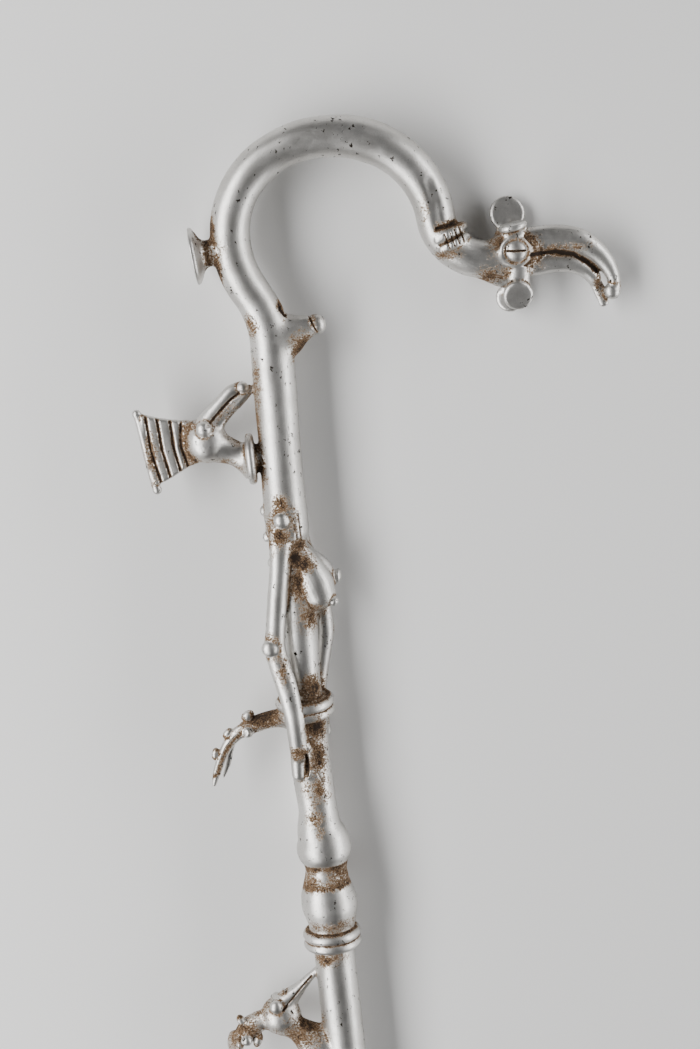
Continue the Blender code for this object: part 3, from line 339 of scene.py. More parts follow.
def arms():
    """Both arms: each a long limb, a hand with a broad nail, and a thumb laid beside it.

    The heights are above the belt, and the depths are away from the staff's middle.
    """
    near = (
        (
            (-4.0, 110.0, 8.0, 6.8, 4.6), (-5.0, 102.0, 9.4, 6.6, 4.8), (-6.2, 92.0, 10.4, 6.0, 5.1),
            (-10.4, 67.5, 11.4, 5.9, 5.4), (-13.4, 50.0, 12.4, 5.9, 5.4), (-14.7, 40.0, 13.0, 6.3, 5.4),
            (-13.2, 30.0, 13.4, 6.3, 5.1), (-10.2, 16.0, 14.0, 6.3, 4.8), (-7.9, -3.0, 15.6, 5.6, 4.7),
            (-7.5, -19.0, 12.8, 5.5, 4.6), (-7.8, -27.0, 11.4, 5.0, 4.3),
        ),
        (
            (-8.3, -24.0, 11.2, 4.4, 4.0), (-8.9, -33.0, 9.8, 4.3, 3.9), (-9.3, -39.6, 9.2, 4.0, 3.8),
        ),
        (
            (-3.6, -17.0, 12.0, 1.5, 2.8), (-0.8, -27.0, 11.4, 1.7, 2.8), (-0.9, -35.0, 10.8, 1.7, 2.6),
            (-3.6, -41.0, 10.4, 1.6, 2.5),
        ),
    )
    far = (
        (
            (2.5, 110.0, 8.4, 6.8, 4.6), (5.5, 100.0, 9.0, 6.3, 4.8), (10.0, 84.0, 9.6, 5.8, 5.1),
            (15.0, 55.0, 9.6, 5.7, 5.4), (14.6, 41.0, 11.4, 6.0, 5.4), (11.8, 28.0, 12.4, 5.7, 5.1),
            (7.4, 4.0, 14.6, 5.0, 4.7), (7.2, -12.0, 11.6, 4.8, 4.6), (8.0, -20.0, 9.4, 4.6, 4.3),
        ),
        (
            (7.9, -14.0, 9.2, 3.8, 3.8), (7.4, -24.0, 7.8, 3.5, 3.8), (7.0, -31.0, 7.2, 3.1, 3.7),
        ),
        (
            (3.6, -12.0, 12.4, 1.6, 3.0), (2.6, -23.0, 11.4, 2.1, 3.0), (3.2, -33.0, 10.4, 1.8, 2.6),
        ),
    )
    for side, limbs in ((1, near), (-1, far)):
        for limb in limbs:
            rod([(x, BELT_HEIGHT + y, side * z, w, d) for x, y, z, w, d in limb])
    # The beads on the shoulders, then those on the elbows
    bead((-2.9, 973.0, 12.1), (0, 0, 1), 4.3, 3.2)
    bead((1.5, 973.0, -12.1), (0, 0, 1), 4.3, 3.2)
    bead((-17.4, BELT_HEIGHT + 41.0, 15.6), (0, 0, 1), 5.2, 4.3)
    bead((16.6, BELT_HEIGHT + 43.0, -14.4), (0, 0, 1), 4.5, 4.3)


def breasts():
    """Two pointed breasts under a sloping chest."""
    rod((
        (4.5, 950.0, 1.6, 8.4, 7.8), (9.6, 940.0, 2.6, 9.6, 8.8), (13.2, 930.5, 3.6, 10.6, 10.0),
        (14.8, 925.4, 3.8, 9.8, 9.4),
    ))
    rod((
        (1.0, 955.0, -1.0, 8.0, 8.2), (8.5, 946.0, -2.0, 7.8, 8.2), (15.2, 938.0, -3.0, 8.4, 7.8),
        (18.0, 932.0, -3.4, 7.8, 7.4),
    ))
    bead((26.3, 933.5, -3.0), (1, -0.1, 0.15), 4.2, 2.4)
    bead((22.6, 921.0, 8.0), (0.7, -0.7, 0.1), 2.9, 2.6)


def peg():
    """The broad peg at the front of the neck, with its round button."""
    rod((
        (2.0, 1075.0, 0, 16.0, 11.4), (9.0, 1077.8, 0, 14.4, 10.8), (15.0, 1079.7, 0, 12.0, 9.2),
        (20.5, 1081.4, 0, 8.6, 7.4), (26.4, 1082.9, 0, 6.0, 6.0),
    ), "||")
    rod((
        (23.0, 1082.6, 0, 5.0, 5.0), (26.6, 1082.9, 0, 5.0, 5.0), (27.3, 1083.0, 0, 5.8, 5.8),
        (30.4, 1083.1, 0, 5.8, 5.8), (32.2, 1083.1, 0, 5.2, 5.2), (33.7, 1083.2, 0, 4.0, 4.0),
        (34.9, 1083.2, 0, 2.0, 2.0),
    ), "||", smooth=False)
    crisp.append((29.5, 1083.0, 0.0, 6.2))


def dish(line):
    """The shallow dish that faces back from the crook, on its short stem."""
    back = line[np.argmin(line[:, 0])]
    profile = (
        (3.6, 0.0), (3.3, 5.8), (1.8, 11.5),
        (0.0, 15.9), (0.35, 16.4), (1.0, 16.5),
        (2.3, 15.9), (4.0, 12.9), (5.6, 9.6),
        (8.0, 7.6), (17.0, 7.6), (17.0, 0.0),
    )
    origin = (back[0] - back[3] - 11.0, back[1] - 5.0, 0.6)
    spun(origin, (1.0, 0.09, 0.0), profile, 64)


def collar():
    """The tied strap behind the bird's head: two short ridges over the near side of the bend."""
    depths = (9.4, 10.8, 10.6, 6.0, 0.5)
    for places in (
        ((103.0, 1124.6), (106.6, 1126.4), (112.0, 1128.4), (117.0, 1130.2), (118.0, 1130.6)),
        ((105.2, 1118.6), (108.6, 1120.2), (113.6, 1122.2), (118.2, 1124.2), (119.2, 1124.6)),
    ):
        rod([(x, y, z, 2.7, 2.2) for (x, y), z in zip(places, depths)])
    crisp.append((111.0, 1124.5, 10.0, 8.0))


def lobe(root, centre, normal, radius, stem):
    """A round paddle that widens out of a broad short stem, like a spoon."""
    root, centre = np.array(root, float), np.array(centre, float)
    reach = root + 0.8 * (centre - root)
    middle = (root + reach) / 2
    rod(((*root, stem * 1.25, stem), (*middle, stem * 1.05, stem * 0.66), (*reach, stem * 1.3, 1.9)), "||")
    plate(centre, normal, radius, 1.9, 0.9)


def crook_bird(line):
    """The large bird's head at the end of the crook, and where its middle is."""
    hx, hy = line[-1, 0] - 4.0, line[-1, 1] - 1.0

    def at(rows):
        return [(hx + x, hy + y, *rest) for x, y, *rest in rows]

    rod(at(((-10, -2.4, 0, 12.4, 10.5), (0, 0, 0, 13.0, 10.5), (6.5, 0.6, 0, 12.0, 8.1))), "||", 40)
    rod(at(((-27, 0.5, -0.5, 8.6, 8.6), (-18, -6.4, -1.5, 6.8, 7.0), (-9, -12.4, -3.0, 6.0, 6.0))))
    for side in (1, -1):
        wire_ring((hx, hy + 2.0, side * 10.3), 7.6, 1.5)
        bead((hx + 0.9, hy + 2.2, side * 9.7), (0, 0, side), 5.9, 3.5)
    rod(at((
        (3, 6.6, 0, 7.0, 6.8), (12, 7.2, 0, 6.9, 6.2), (24, 7.0, 0, 7.0, 6.2),
        (36, 4.0, 0, 7.3, 6.2), (44.8, -1.8, 0, 6.6, 6.0), (51.8, -9.8, 0, 5.5, 5.7),
        (55.6, -18.4, 0, 4.2, 5.0), (56.3, -25.4, 0, 3.4, 4.1),
    )))
    rod(at((
        (3, -7.8, 0, 6.0, 6.2), (12, -8.1, 0, 5.7, 6.0), (23, -8.1, 0, 5.0, 5.7),
        (33.5, -9.6, 0, 5.0, 5.5), (40.5, -13.6, 0, 4.7, 5.1), (44.6, -18.4, 0, 4.2, 4.7),
    )))
    # The web of metal left in the mouth
    web = ((8, -0.6, 0, 3.4, 3.6), (20, -0.9, 0, 3.2, 3.2), (29, -2.4, 0, 3.0, 2.6))
    rod(at((*web, (37, -6.0, 0, 2.8, 2.2), (43, -11.0, 0, 2.6, 1.9), (47, -16.0, 0, 2.0, 1.7))), "||")
    rod(at(((43.8, -17.6, -1.6, 3.4, 3.1), (47.7, -27.0, -1.8, 3.5, 2.0), (49.4, -34.0, -1.2, 2.7, 1.7))))
    bead((hx + 54.6, hy - 27.0, 0.6), (0, 0, 1), 4.9, 4.5)
    lobe((hx - 5, hy + 9, -5), (hx - 1.0, hy + 22.3, -8.0), (0.05, 0.2, 1), 10.2, 4.2)
    lobe((hx + 0.4, hy + 8, 6), (hx + 0.1, hy + 16.2, 9.5), (-0.13, 1, 0.05), 8.3, 6.4)
    lobe((hx + 1.6, hy - 8, 5), (hx - 0.2, hy - 23.0, 9.0), (0.0, -0.3, 1), 8.7, 6.2)
    lobe((hx - 3, hy - 9, -4), (hx - 3.5, hy - 25.4, -6.0), (-0.1, 0.15, 1), 8.4, 4.6)
    return hx, hy


def upper_bird():
    """The fan-crested bird's head that looks up along the neck from its flange."""
    plate((-16.5, 1009.0, 0), (1, 0, 0), 15.0, 2.4, 0.8)
    crisp.append((-8.0, 1009.0, 0.0, 7.0))
    rod(((-16.5, 1009, 0, 8, 8), (-7.5, 1009, 0, 8, 8)), "||", smooth=False)
    rod((
        (-38.0, 1019.0, 0, 9.6, 9.0), (-29.0, 1015.2, 0, 8.0, 8.0), (-23.4, 1012.2, 0, 7.4, 7.8),
        (-20.6, 1010.4, 0, 8.4, 9.0), (-18.8, 1009.8, 0, 10.6, 10.6), (-17.0, 1009.3, 0, 12.4, 12.4),
    ), "o|")
    ball((-40.7, 1021.6, 0), (0, 0, 1), 12.4, 11.0)
    rod((
        (-41.0, 1028.0, 0, 8.6, 7.6), (-36.0, 1036.6, 0, 5.8, 5.6), (-29.4, 1043.8, 0, 4.5, 4.6),
        (-22.8, 1049.8, 0, 3.8, 3.8), (-17.4, 1051.6, 0, 3.2, 3.2),
    ))
    rod((
        (-36.6, 1027.0, 0, 5.4, 6.0), (-31.8, 1032.8, 0, 3.8, 4.6), (-26.2, 1038.0, 0, 3.1, 3.6),
        (-19.6, 1043.2, 0, 2.9, 3.4), (-13.0, 1049.6, 0, 2.8, 3.0),
    ))
    rod((
        (-38.0, 1030.0, 0, 4.2, 4.8), (-30.4, 1037.8, 0, 3.6, 3.8), (-24.6, 1043.0, 0, 3.0, 3.2),
        (-17.6, 1048.4, 0, 2.8, 2.8),
    ))
    bead((-16.6, 1051.4, 1.4), (0, 0, 1), 3.2, 3.4)
    for side in (1, -1):
        bead((-41.2, 1030.6, 8.8 * side), (0, 0, side), 4.6, 4.0)
    slab((
        (-43.0, 1034.6), (-54.8, 1035.8), (-66.1, 1038.2),
        (-77.6, 1042.0), (-78.4, 1027.0), (-76.6, 1013.0),
        (-73.8, 998.6), (-64.7, 1002.3), (-52.3, 1008.7),
        (-43.0, 1011.0),
    ), 3.0)
    rod((
        (-79.0, 1041.6, 0, 2.2, 2.2), (-77.3, 1030.0, 0, 2.6, 3.2), (-75.4, 1014.0, 0, 2.8, 3.2),
        (-73.0, 997.2, 0, 2.6, 2.6),
    ))
    bead((-79.3, 1042.0, 0), (0, 0, 1), 2.6, 2.6)
    bead((-72.8, 996.6, 0), (0, 0, 1), 2.9, 2.9)


def tail():
    """The hooked tail behind the waist, with two prongs and nail-shaped beads."""
    rod((
        (-8.0, 849.0, 0, 6.6, 6.0), (-18.5, 851.2, 0, 5.6, 5.4), (-25.0, 850.6, 0, 5.2, 5.2),
        (-31.6, 849.0, 0, 5.0, 5.4), (-38.0, 847.0, 0, 4.5, 5.0),
    ), "|o")
    rod((
        (-36.0, 848.0, 1.6, 4.4, 3.6), (-43.8, 844.2, 1.6, 4.0, 3.2), (-49.6, 838.4, 1.6, 3.4, 3.0),
        (-53.6, 831.6, 1.4, 3.0, 2.8), (-56.8, 824.6, 1.2, 2.7, 2.6), (-59.2, 818.4, 1.0, 2.1, 2.2),
        (-60.4, 814.6, 1.0, 1.4, 1.6),
    ))
    rod((
        (-38.6, 846.4, -3.0, 3.4, 2.6), (-45.4, 840.2, -4.4, 2.2, 2.0), (-48.8, 832.2, -5.2, 1.6, 1.6),
        (-51.0, 824.8, -5.4, 1.6, 1.4), (-54.6, 817.0, -5.0, 0.9, 1.0),
    ))
    bead((-35.8, 855.0, 1.5), (1, 0.55, 0), 3.0, 4.2)
    bead((-36.7, 845.6, 4.4), (0, 0, 1), 3.2, 3.4)
    bead((-48.9, 845.6, 1.5), (0.72, 0.7, 0), 2.3, 3.9)
    bead((-57.6, 833.6, 1.5), (0.25, 0.97, 0), 2.2, 4.0)


def lower_bird():
    """The bird's head under the double ring, whose beak touches the shaft."""
    ball((-36.8, 662.2, 0), (0, 0, 1), 12.4, 10.6)
    rod((
        (-38.2, 664.6, 0, 9.6, 8.6), (-31.6, 671.8, 0, 6.8, 6.6), (-24.8, 677.8, 0, 4.2, 4.8),
        (-18.4, 683.6, 0, 2.8, 3.4), (-12.6, 688.6, 0, 2.2, 2.8),
    ))
    rod((
        (-35.0, 657.0, 0, 8.6, 8.6), (-29.6, 653.4, 0, 7.6, 7.6), (-24.6, 649.0, 0, 8.8, 7.8),
        (-19.0, 643.6, 0, 12.6, 8.6), (-12.0, 637.0, 0, 18.0, 9.4), (-7.0, 632.5, 0, 20.0, 9.4),
    ), "o|")
    rod((
        (-42.0, 661.0, 0, 6.4, 6.0), (-51.0, 659.4, 0, 6.4, 5.6), (-56.6, 656.2, 0, 7.0, 5.6),
        (-62.0, 650.6, 0, 6.0, 5.0),
    ))
    plate((-66.8, 646.8, 0.6), (-0.86, 0.2, 0.46), 8.0, 2.0)
    bead((-61.6, 662.0, 1.6), (-0.35, 0.9, 0), 2.6, 4.0)
    bead((-59.2, 650.0, 5.0), (0, 0, 1), 3.4, 3.4)
    bead((-52.6, 648.4, 2.0), (0.4, 1, 0), 2.8, 5.0)
    bead((-33.6, 677.6, 1.0), (0, 0, 1), 1.8, 2.6)
    bead((-38.8, 671.4, 8.8), (0, 0, 1), 4.1, 3.4)
    bead((-38.8, 669.2, -8.8), (0, 0, 1), 4.1, 3.4)


# The surface: fused, filleted like wax joints, then cut with the finer lines


def fused_surface():
    """Points and four-sided faces of one skin over all the forms."""
    mesh = bpy.data.meshes.new("forms")
    mesh.from_pydata(points, [], faces)
    holder = bpy.data.objects.new("forms", mesh)
    bpy.context.scene.collection.objects.link(holder)
    fuse = holder.modifiers.new("fuse", "REMESH")
    fuse.mode = "VOXEL"
    fuse.voxel_size = CELL
    whole = holder.evaluated_get(bpy.context.evaluated_depsgraph_get()).to_mesh()
    skin_points = np.zeros(len(whole.vertices) * 3)
    whole.vertices.foreach_get("co", skin_points)
    loops = np.zeros(len(whole.loops), int)
    whole.loops.foreach_get("vertex_index", loops)
    assert len(loops) == 4 * len(whole.polygons)
    bpy.data.objects.remove(holder)
    return skin_points.reshape(-1, 3), loops.reshape(-1, 4)


class Surface:
    """A skin of four-sided faces that can be smoothed and pushed along its normals."""

    def __init__(self, at, quads):
        self.at = at
        self.quads = quads
        pairs = np.concatenate([quads[:, [k, (k + 1) % 4]] for k in range(4)])
        pairs = np.unique(np.sort(pairs, axis=1), axis=0)
        # Each edge once either way, from a to b
        self.a = np.concatenate([pairs[:, 0], pairs[:, 1]])
        self.b = np.concatenate([pairs[:, 1], pairs[:, 0]])
        self.count = np.bincount(self.a, minlength=len(at))
        self.turn_normals()

    def mean(self, values):
        """The mean over each point's neighbours."""
        if values.ndim == 1:
            return np.bincount(self.a, values[self.b], len(self.at)) / self.count
        return np.stack([self.mean(column) for column in values.T], axis=1)

    def turn_normals(self):
        """Finds each point's normal again after the skin has moved."""
        p = self.at[self.quads]
        across = np.cross(p[:, 2] - p[:, 0], p[:, 3] - p[:, 1])
        total = np.zeros_like(self.at)
        for axis in range(3):
            for k in range(4):
                total[:, axis] += np.bincount(self.quads[:, k], across[:, axis], len(self.at))
        self.normals = total / np.maximum(np.linalg.norm(total, axis=1), 1e-12)[:, None]

    def smooth(self, rounds):
        """Takes out the steps of the cells without shrinking the form."""
        for _ in range(rounds):
            # A step inwards, then a slightly longer one back
            for share in (0.5, -0.52):
                self.at = self.at + share * (self.mean(self.at) - self.at)
        self.turn_normals()

    def soften(self, places, rounds):
        """Blends the forms into each other round each place, as a hand smooths wax."""
        share = np.zeros(len(self.at))
        for centre, size in places:
            share = np.maximum(share, spread(self.at, centre, size))
        for _ in range(rounds):
            self.at = self.at + 0.5 * share[:, None] * (self.mean(self.at) - self.at)
        self.turn_normals()

    def fill_joints(self, rounds, most, reach):
        """Fills only the hollow joints, as wax does, and returns how deep each would fill."""
        start = self.at.copy()
        for k in range(rounds):
            inward = self.mean(self.at) - self.at
            rise = np.einsum("ij,ij->i", inward, self.normals)
            rise = np.clip(rise - 0.004, 0.0, 0.2) * reach * 0.8
            self.at = self.at + self.normals * rise[:, None]
            if k % 6 == 5:
                self.turn_normals()
        self.turn_normals()
        moved = self.at - start
        far = np.linalg.norm(moved, axis=1)
        share = np.minimum(1.0, most / np.maximum(far, 1e-9))
        self.at = start + moved * share[:, None]
        self.turn_normals()
        return far


def distance_to_line(at, line):
    """Distance of each point from a polyline, in the plane of the picture."""
    best = np.full(len(at), 1e9)
    line = np.array(line, float)
    for start, end in zip(line[:-1], line[1:]):
        span = end - start
        share = np.clip((at[:, :2] - start) @ span / max(span @ span, 1e-9), 0.0, 1.0)
        best = np.minimum(best, np.linalg.norm(at[:, :2] - start - share[:, None] * span, axis=1))
    return best


def spread(at, centre, size):
    """A soft round patch, 1 at its centre."""
    offset = (at - np.array(centre)) / np.array(size, float)
    return np.exp(-(offset**2).sum(axis=1))


line = trunk_and_crook()
rings_and_spine()
arms()
breasts()
peg()
dish(line)
collar()
hx, hy = crook_bird(line)
upper_bird()
tail()
lower_bird()

surface = Surface(*fused_surface())
surface.smooth(SMOOTH_ROUNDS)

# Where the fillets reach in full, and where the joints stay sharp: at the crisp places and the rings
reach = np.ones(len(surface.at))
for x, y, z, radius in crisp:
    away = np.linalg.norm(surface.at - np.array([x, y, z]), axis=1) - radius
    reach = np.minimum(reach, np.clip(away / 2.0, 0.06, 1.0))
near_axis = np.hypot(surface.at[:, 0] + 0.5, surface.at[:, 2]) < 19.0
ring_half = 7.5
for y in (LOWER_RING_HEIGHT, BELT_HEIGHT):
    away = np.abs(surface.at[:, 1] - y) - ring_half
    reach = np.where(near_axis, np.minimum(reach, np.clip(away / 2.0, 0.15, 1.0)), reach)

# The brown deposit sits where the metal was left rough: first in the hollow joints, spread a little
bent = surface.mean(surface.at) - surface.at
bent = np.einsum("ij,ij->i", bent, surface.normals)
creases = np.clip((bent - 0.012) / 0.05, 0.0, 1.0)
hollow = surface.fill_joints(FILLET_ROUNDS, FILLET_DEPTH, reach)
creases = np.maximum(creases, np.clip((hollow - 0.05) / 0.5, 0.0, 1.0))
for _ in range(5):
    creases = np.maximum(creases * 0.97, surface.mean(creases))
surface.smooth(2)
# The peg's root, the back of the big head, the small birds' necks, the shoulder and the near breast
surface.soften(
    [
        ((9.0, 1078.0, 9.0), (8, 14, 8)),
        ((9.0, 1078.0, -9.0), (8, 14, 8)),
        ((132.0, 1106.0, 5.0), (7, 9, 8)),
        ((132.0, 1106.0, -5.0), (7, 9, 8)),
        ((-28.0, 1015.0, 0.0), (5, 8, 12)),
        ((-4.0, 966.0, 11.0), (5, 6, 5)),
        ((6.0, 950.0, 8.0), (4, 6, 5)),
        ((-28.0, 654.0, 0.0), (5, 8, 10)),
    ],
    SOFTEN_ROUNDS,
)

deposit_and_shade = creases.copy()


def stain_and_shade(amounts):
    """Leaves at least this much brown deposit at each point; where it is heavy, it is near-black painted
    shade.
    """
    np.maximum(deposit_and_shade, amounts, out=deposit_and_shade)


def line_mark(line, width, depth, side=1, low_z=1.0, dirt_and_shade=0.9, dirt_width=1.6, power=4):
    """A groove with dirt in it along a line on one side of the staff, or a ridge if the depth is below 0.

    It marks what lies beyond the low z on that side. The dirt's width is a multiple of the groove's, and
    a low power makes the groove's walls slope. Heavy dirt turns near black, as painted shade in the groove.
    """
    away = distance_to_line(surface.at, line)
    facing = np.clip(surface.normals[:, 2] * side * 3.0, 0.0, 1.0)
    facing = np.where(surface.at[:, 2] * side > low_z, facing, 0.0)
    shape = np.exp(-((away / width) ** power)) * facing
    surface.at = surface.at - surface.normals * (depth * shape)[:, None]
    stain_and_shade(dirt_and_shade * np.exp(-((away / (width * dirt_width)) ** 2)) * facing)


EYE_SLIT = ((hx - 4.3, hy + 2.9), (hx + 6.1, hy + 2.2))
LOWER_BEAK_SLOT = ((-35.0, 668.4), (-25.4, 677.4), (-15.4, 686.8))
UPPER_BEAK_SLOT = ((-38.6, 1032.4), (-30.6, 1039.6), (-24.4, 1045.0), (-18.6, 1048.6))
BIG_BEAK_SLOT = tuple(
    (hx + x, hy + y) for x, y in ((9.5, -0.9), (24, -1.2), (34, -3.6), (42, -9.4), (46.5, -14.6))
)
# The slit's and the slots' heavy dirt turns near black: painted shade in them, over brown deposit
for side in (1, -1):
    line_mark(EYE_SLIT, 0.5, 1.0, side, low_z=9.0, dirt_and_shade=1.3, dirt_width=1.1)
    # The slots of the fan
    for groove in (
        ((-74.3, 1041.0), (-73.4, 1020.0), (-69.6, 1000.0)),
        ((-68.0, 1039.0), (-67.0, 1020.0), (-63.8, 1002.5)),
        ((-60.6, 1037.0), (-60.0, 1020.0), (-57.6, 1005.5)),
        ((-54.3, 1036.0), (-55.9, 1021.0), (-52.8, 1008.5)),
    ):
        line_mark(groove, 0.85, 1.3, side, dirt_and_shade=1.25, dirt_width=1.1, power=2)
    # The slots between the halves of the small birds' beaks, and of the big bird's
    line_mark(LOWER_BEAK_SLOT, 0.55, 1.0, side, dirt_and_shade=1.3, dirt_width=1.1)
    line_mark(UPPER_BEAK_SLOT, 0.9, 1.0, side, low_z=0.5, dirt_and_shade=1.3, dirt_width=1.1)
    line_mark(BIG_BEAK_SLOT, 1.2, 0.9, side, low_z=0.5, dirt_and_shade=1.5, dirt_width=1.3)

# The lashing on the collar: a groove between the ridges and four cross nicks
groove = ((103.6, 1121.4), (109.5, 1123.6), (118.4, 1127.4))
line_mark(groove, 0.6, 0.9, low_z=4.0, dirt_and_shade=1.0, dirt_width=0.8)
for share in (0.12, 0.38, 0.62, 0.86):
    x = 105.2 + 11.8 * share
    y = 1127.0 + 4.2 * share
    line_mark(((x, y), (x + 2.4, y - 8.4)), 0.42, 0.7, low_z=4.0, dirt_and_shade=1.0, dirt_width=1.0)

# The notch over the collar, and the shallow valley that runs up the crook from it
notch = ((102.6, 1130.8), (106.5, 1131.6), (112.0, 1132.8), (117.5, 1134.8))
line_mark(notch, 1.2, 1.7, low_z=0.0, dirt_and_shade=1.2, dirt_width=1.5)
valley = ((103.2, 1133.0), (102.6, 1140.0), (102.4, 1147.0), (100.6, 1157.0))
line_mark(valley, 3.0, 0.9, low_z=4.0, dirt_and_shade=0.0, power=2)

# The crack over the peg's root and the groove round its button; the crack's heavy dirt is near-black
# painted shade, over brown deposit
crack = ((10.2, 1100.0), (9.8, 1094.5), (12.2, 1090.6))
line_mark(crack, 0.8, 1.3, low_z=0.0, dirt_and_shade=1.7, dirt_width=1.3)
for side in (1, -1):
    line_mark(((25.7, 1089.0), (27.2, 1084.0), (29.0, 1079.4)), 0.5, 0.7, side, low_z=0.0, dirt_and_shade=1.1)

# The scored lines by the shoulder and on the hip, and the nail and thumb of the near hand
for groove, width, depth, dirt_and_shade, dirt_width in (
    (((1.6, 976.6), (7.2, 976.0), (7.6, 958.0)), 0.4, 0.4, 0.7, 1.1),
    (((4.6, 974.0), (5.0, 960.5)), 0.4, 0.4, 0.7, 1.1),
    (((-0.4, 824.4), (4.6, 811.9)), 0.45, 0.5, 0.7, 1.1),
    (((-13.0, 832.4), (-9.4, 834.0), (-5.4, 832.6)), 0.5, 0.6, 1.1, 1.2),
    (((-3.4, 831.0), (-3.0, 824.0), (-4.0, 817.6)), 0.8, 1.0, 1.2, 1.1),
):
    line_mark(groove, width, depth, low_z=6.0, dirt_and_shade=dirt_and_shade, dirt_width=dirt_width)

# The groove along the tail's near prong, with its row of beads, and the nail at its tip
prong = ((-38.0, 846.4), (-44.6, 842.6), (-49.6, 837.6), (-53.2, 831.4), (-56.4, 824.8), (-58.0, 820.8))
line_mark(prong, 1.2, 0.7, dirt_and_shade=0.8, dirt_width=1.2)
path = through([(x, y, 0.0) for x, y in prong])[:, :2]
for x, y in path[3::3]:
    line_mark(((x, y), (x, y + 0.01)), 0.75, -0.5, dirt_and_shade=0.0)
line_mark(((-61.6, 819.6), (-56.6, 821.2)), 0.8, 0.4, low_z=0.0, dirt_and_shade=1.0, dirt_width=1.5)

# A brown rim round every bead and round the crook bird's eye
for centre, radius in beads:
    away = np.linalg.norm(surface.at - np.array(centre), axis=1) - radius
    stain_and_shade(0.62 * np.exp(-(((away - 1.0) / 1.1) ** 2)) * (away > 0.15))
from_eye = np.hypot(surface.at[:, 0] - hx, surface.at[:, 1] - hy - 2.0)
beside_eye = np.clip((10.4 - np.abs(surface.at[:, 2])) / 1.2, 0.0, 1.0) * (from_eye > 9.0)
stain_and_shade(0.95 * beside_eye * np.clip(1.0 - (from_eye - 9.0) / 8.5, 0.0, 1.0))

# Brown lines in and beside the turns of both rings, and the band between the two bulges
radial = np.hypot(surface.at[:, 0] + 0.7, surface.at[:, 2])
for middle, tilt, limit in ((LOWER_RING_HEIGHT, 0.0, 18.5), (BELT_HEIGHT, BELT_TILT, 16.6)):
    axial = surface.at[:, 1] - middle + tilt * surface.at[:, 2]
    for offset, width in ((0.0, 0.6), (6.3, 0.8), (-6.3, 0.8)):
        stain_and_shade(np.exp(-(((axial - offset) / width) ** 2)) * (radial < limit))
across_band = np.abs(surface.at[:, 1] - BAND_HEIGHT)
bare_spot = spread(surface.at, (-1.5, 753.0, 12.0), (5.0, 4.0, 6.0))
band = np.clip(8.3 - across_band, 0.0, 1.0) * (0.66 + 0.25 * (across_band > 5.5))
stain_and_shade(band * (1.0 - 0.8 * bare_spot) * (radial < 20.0))

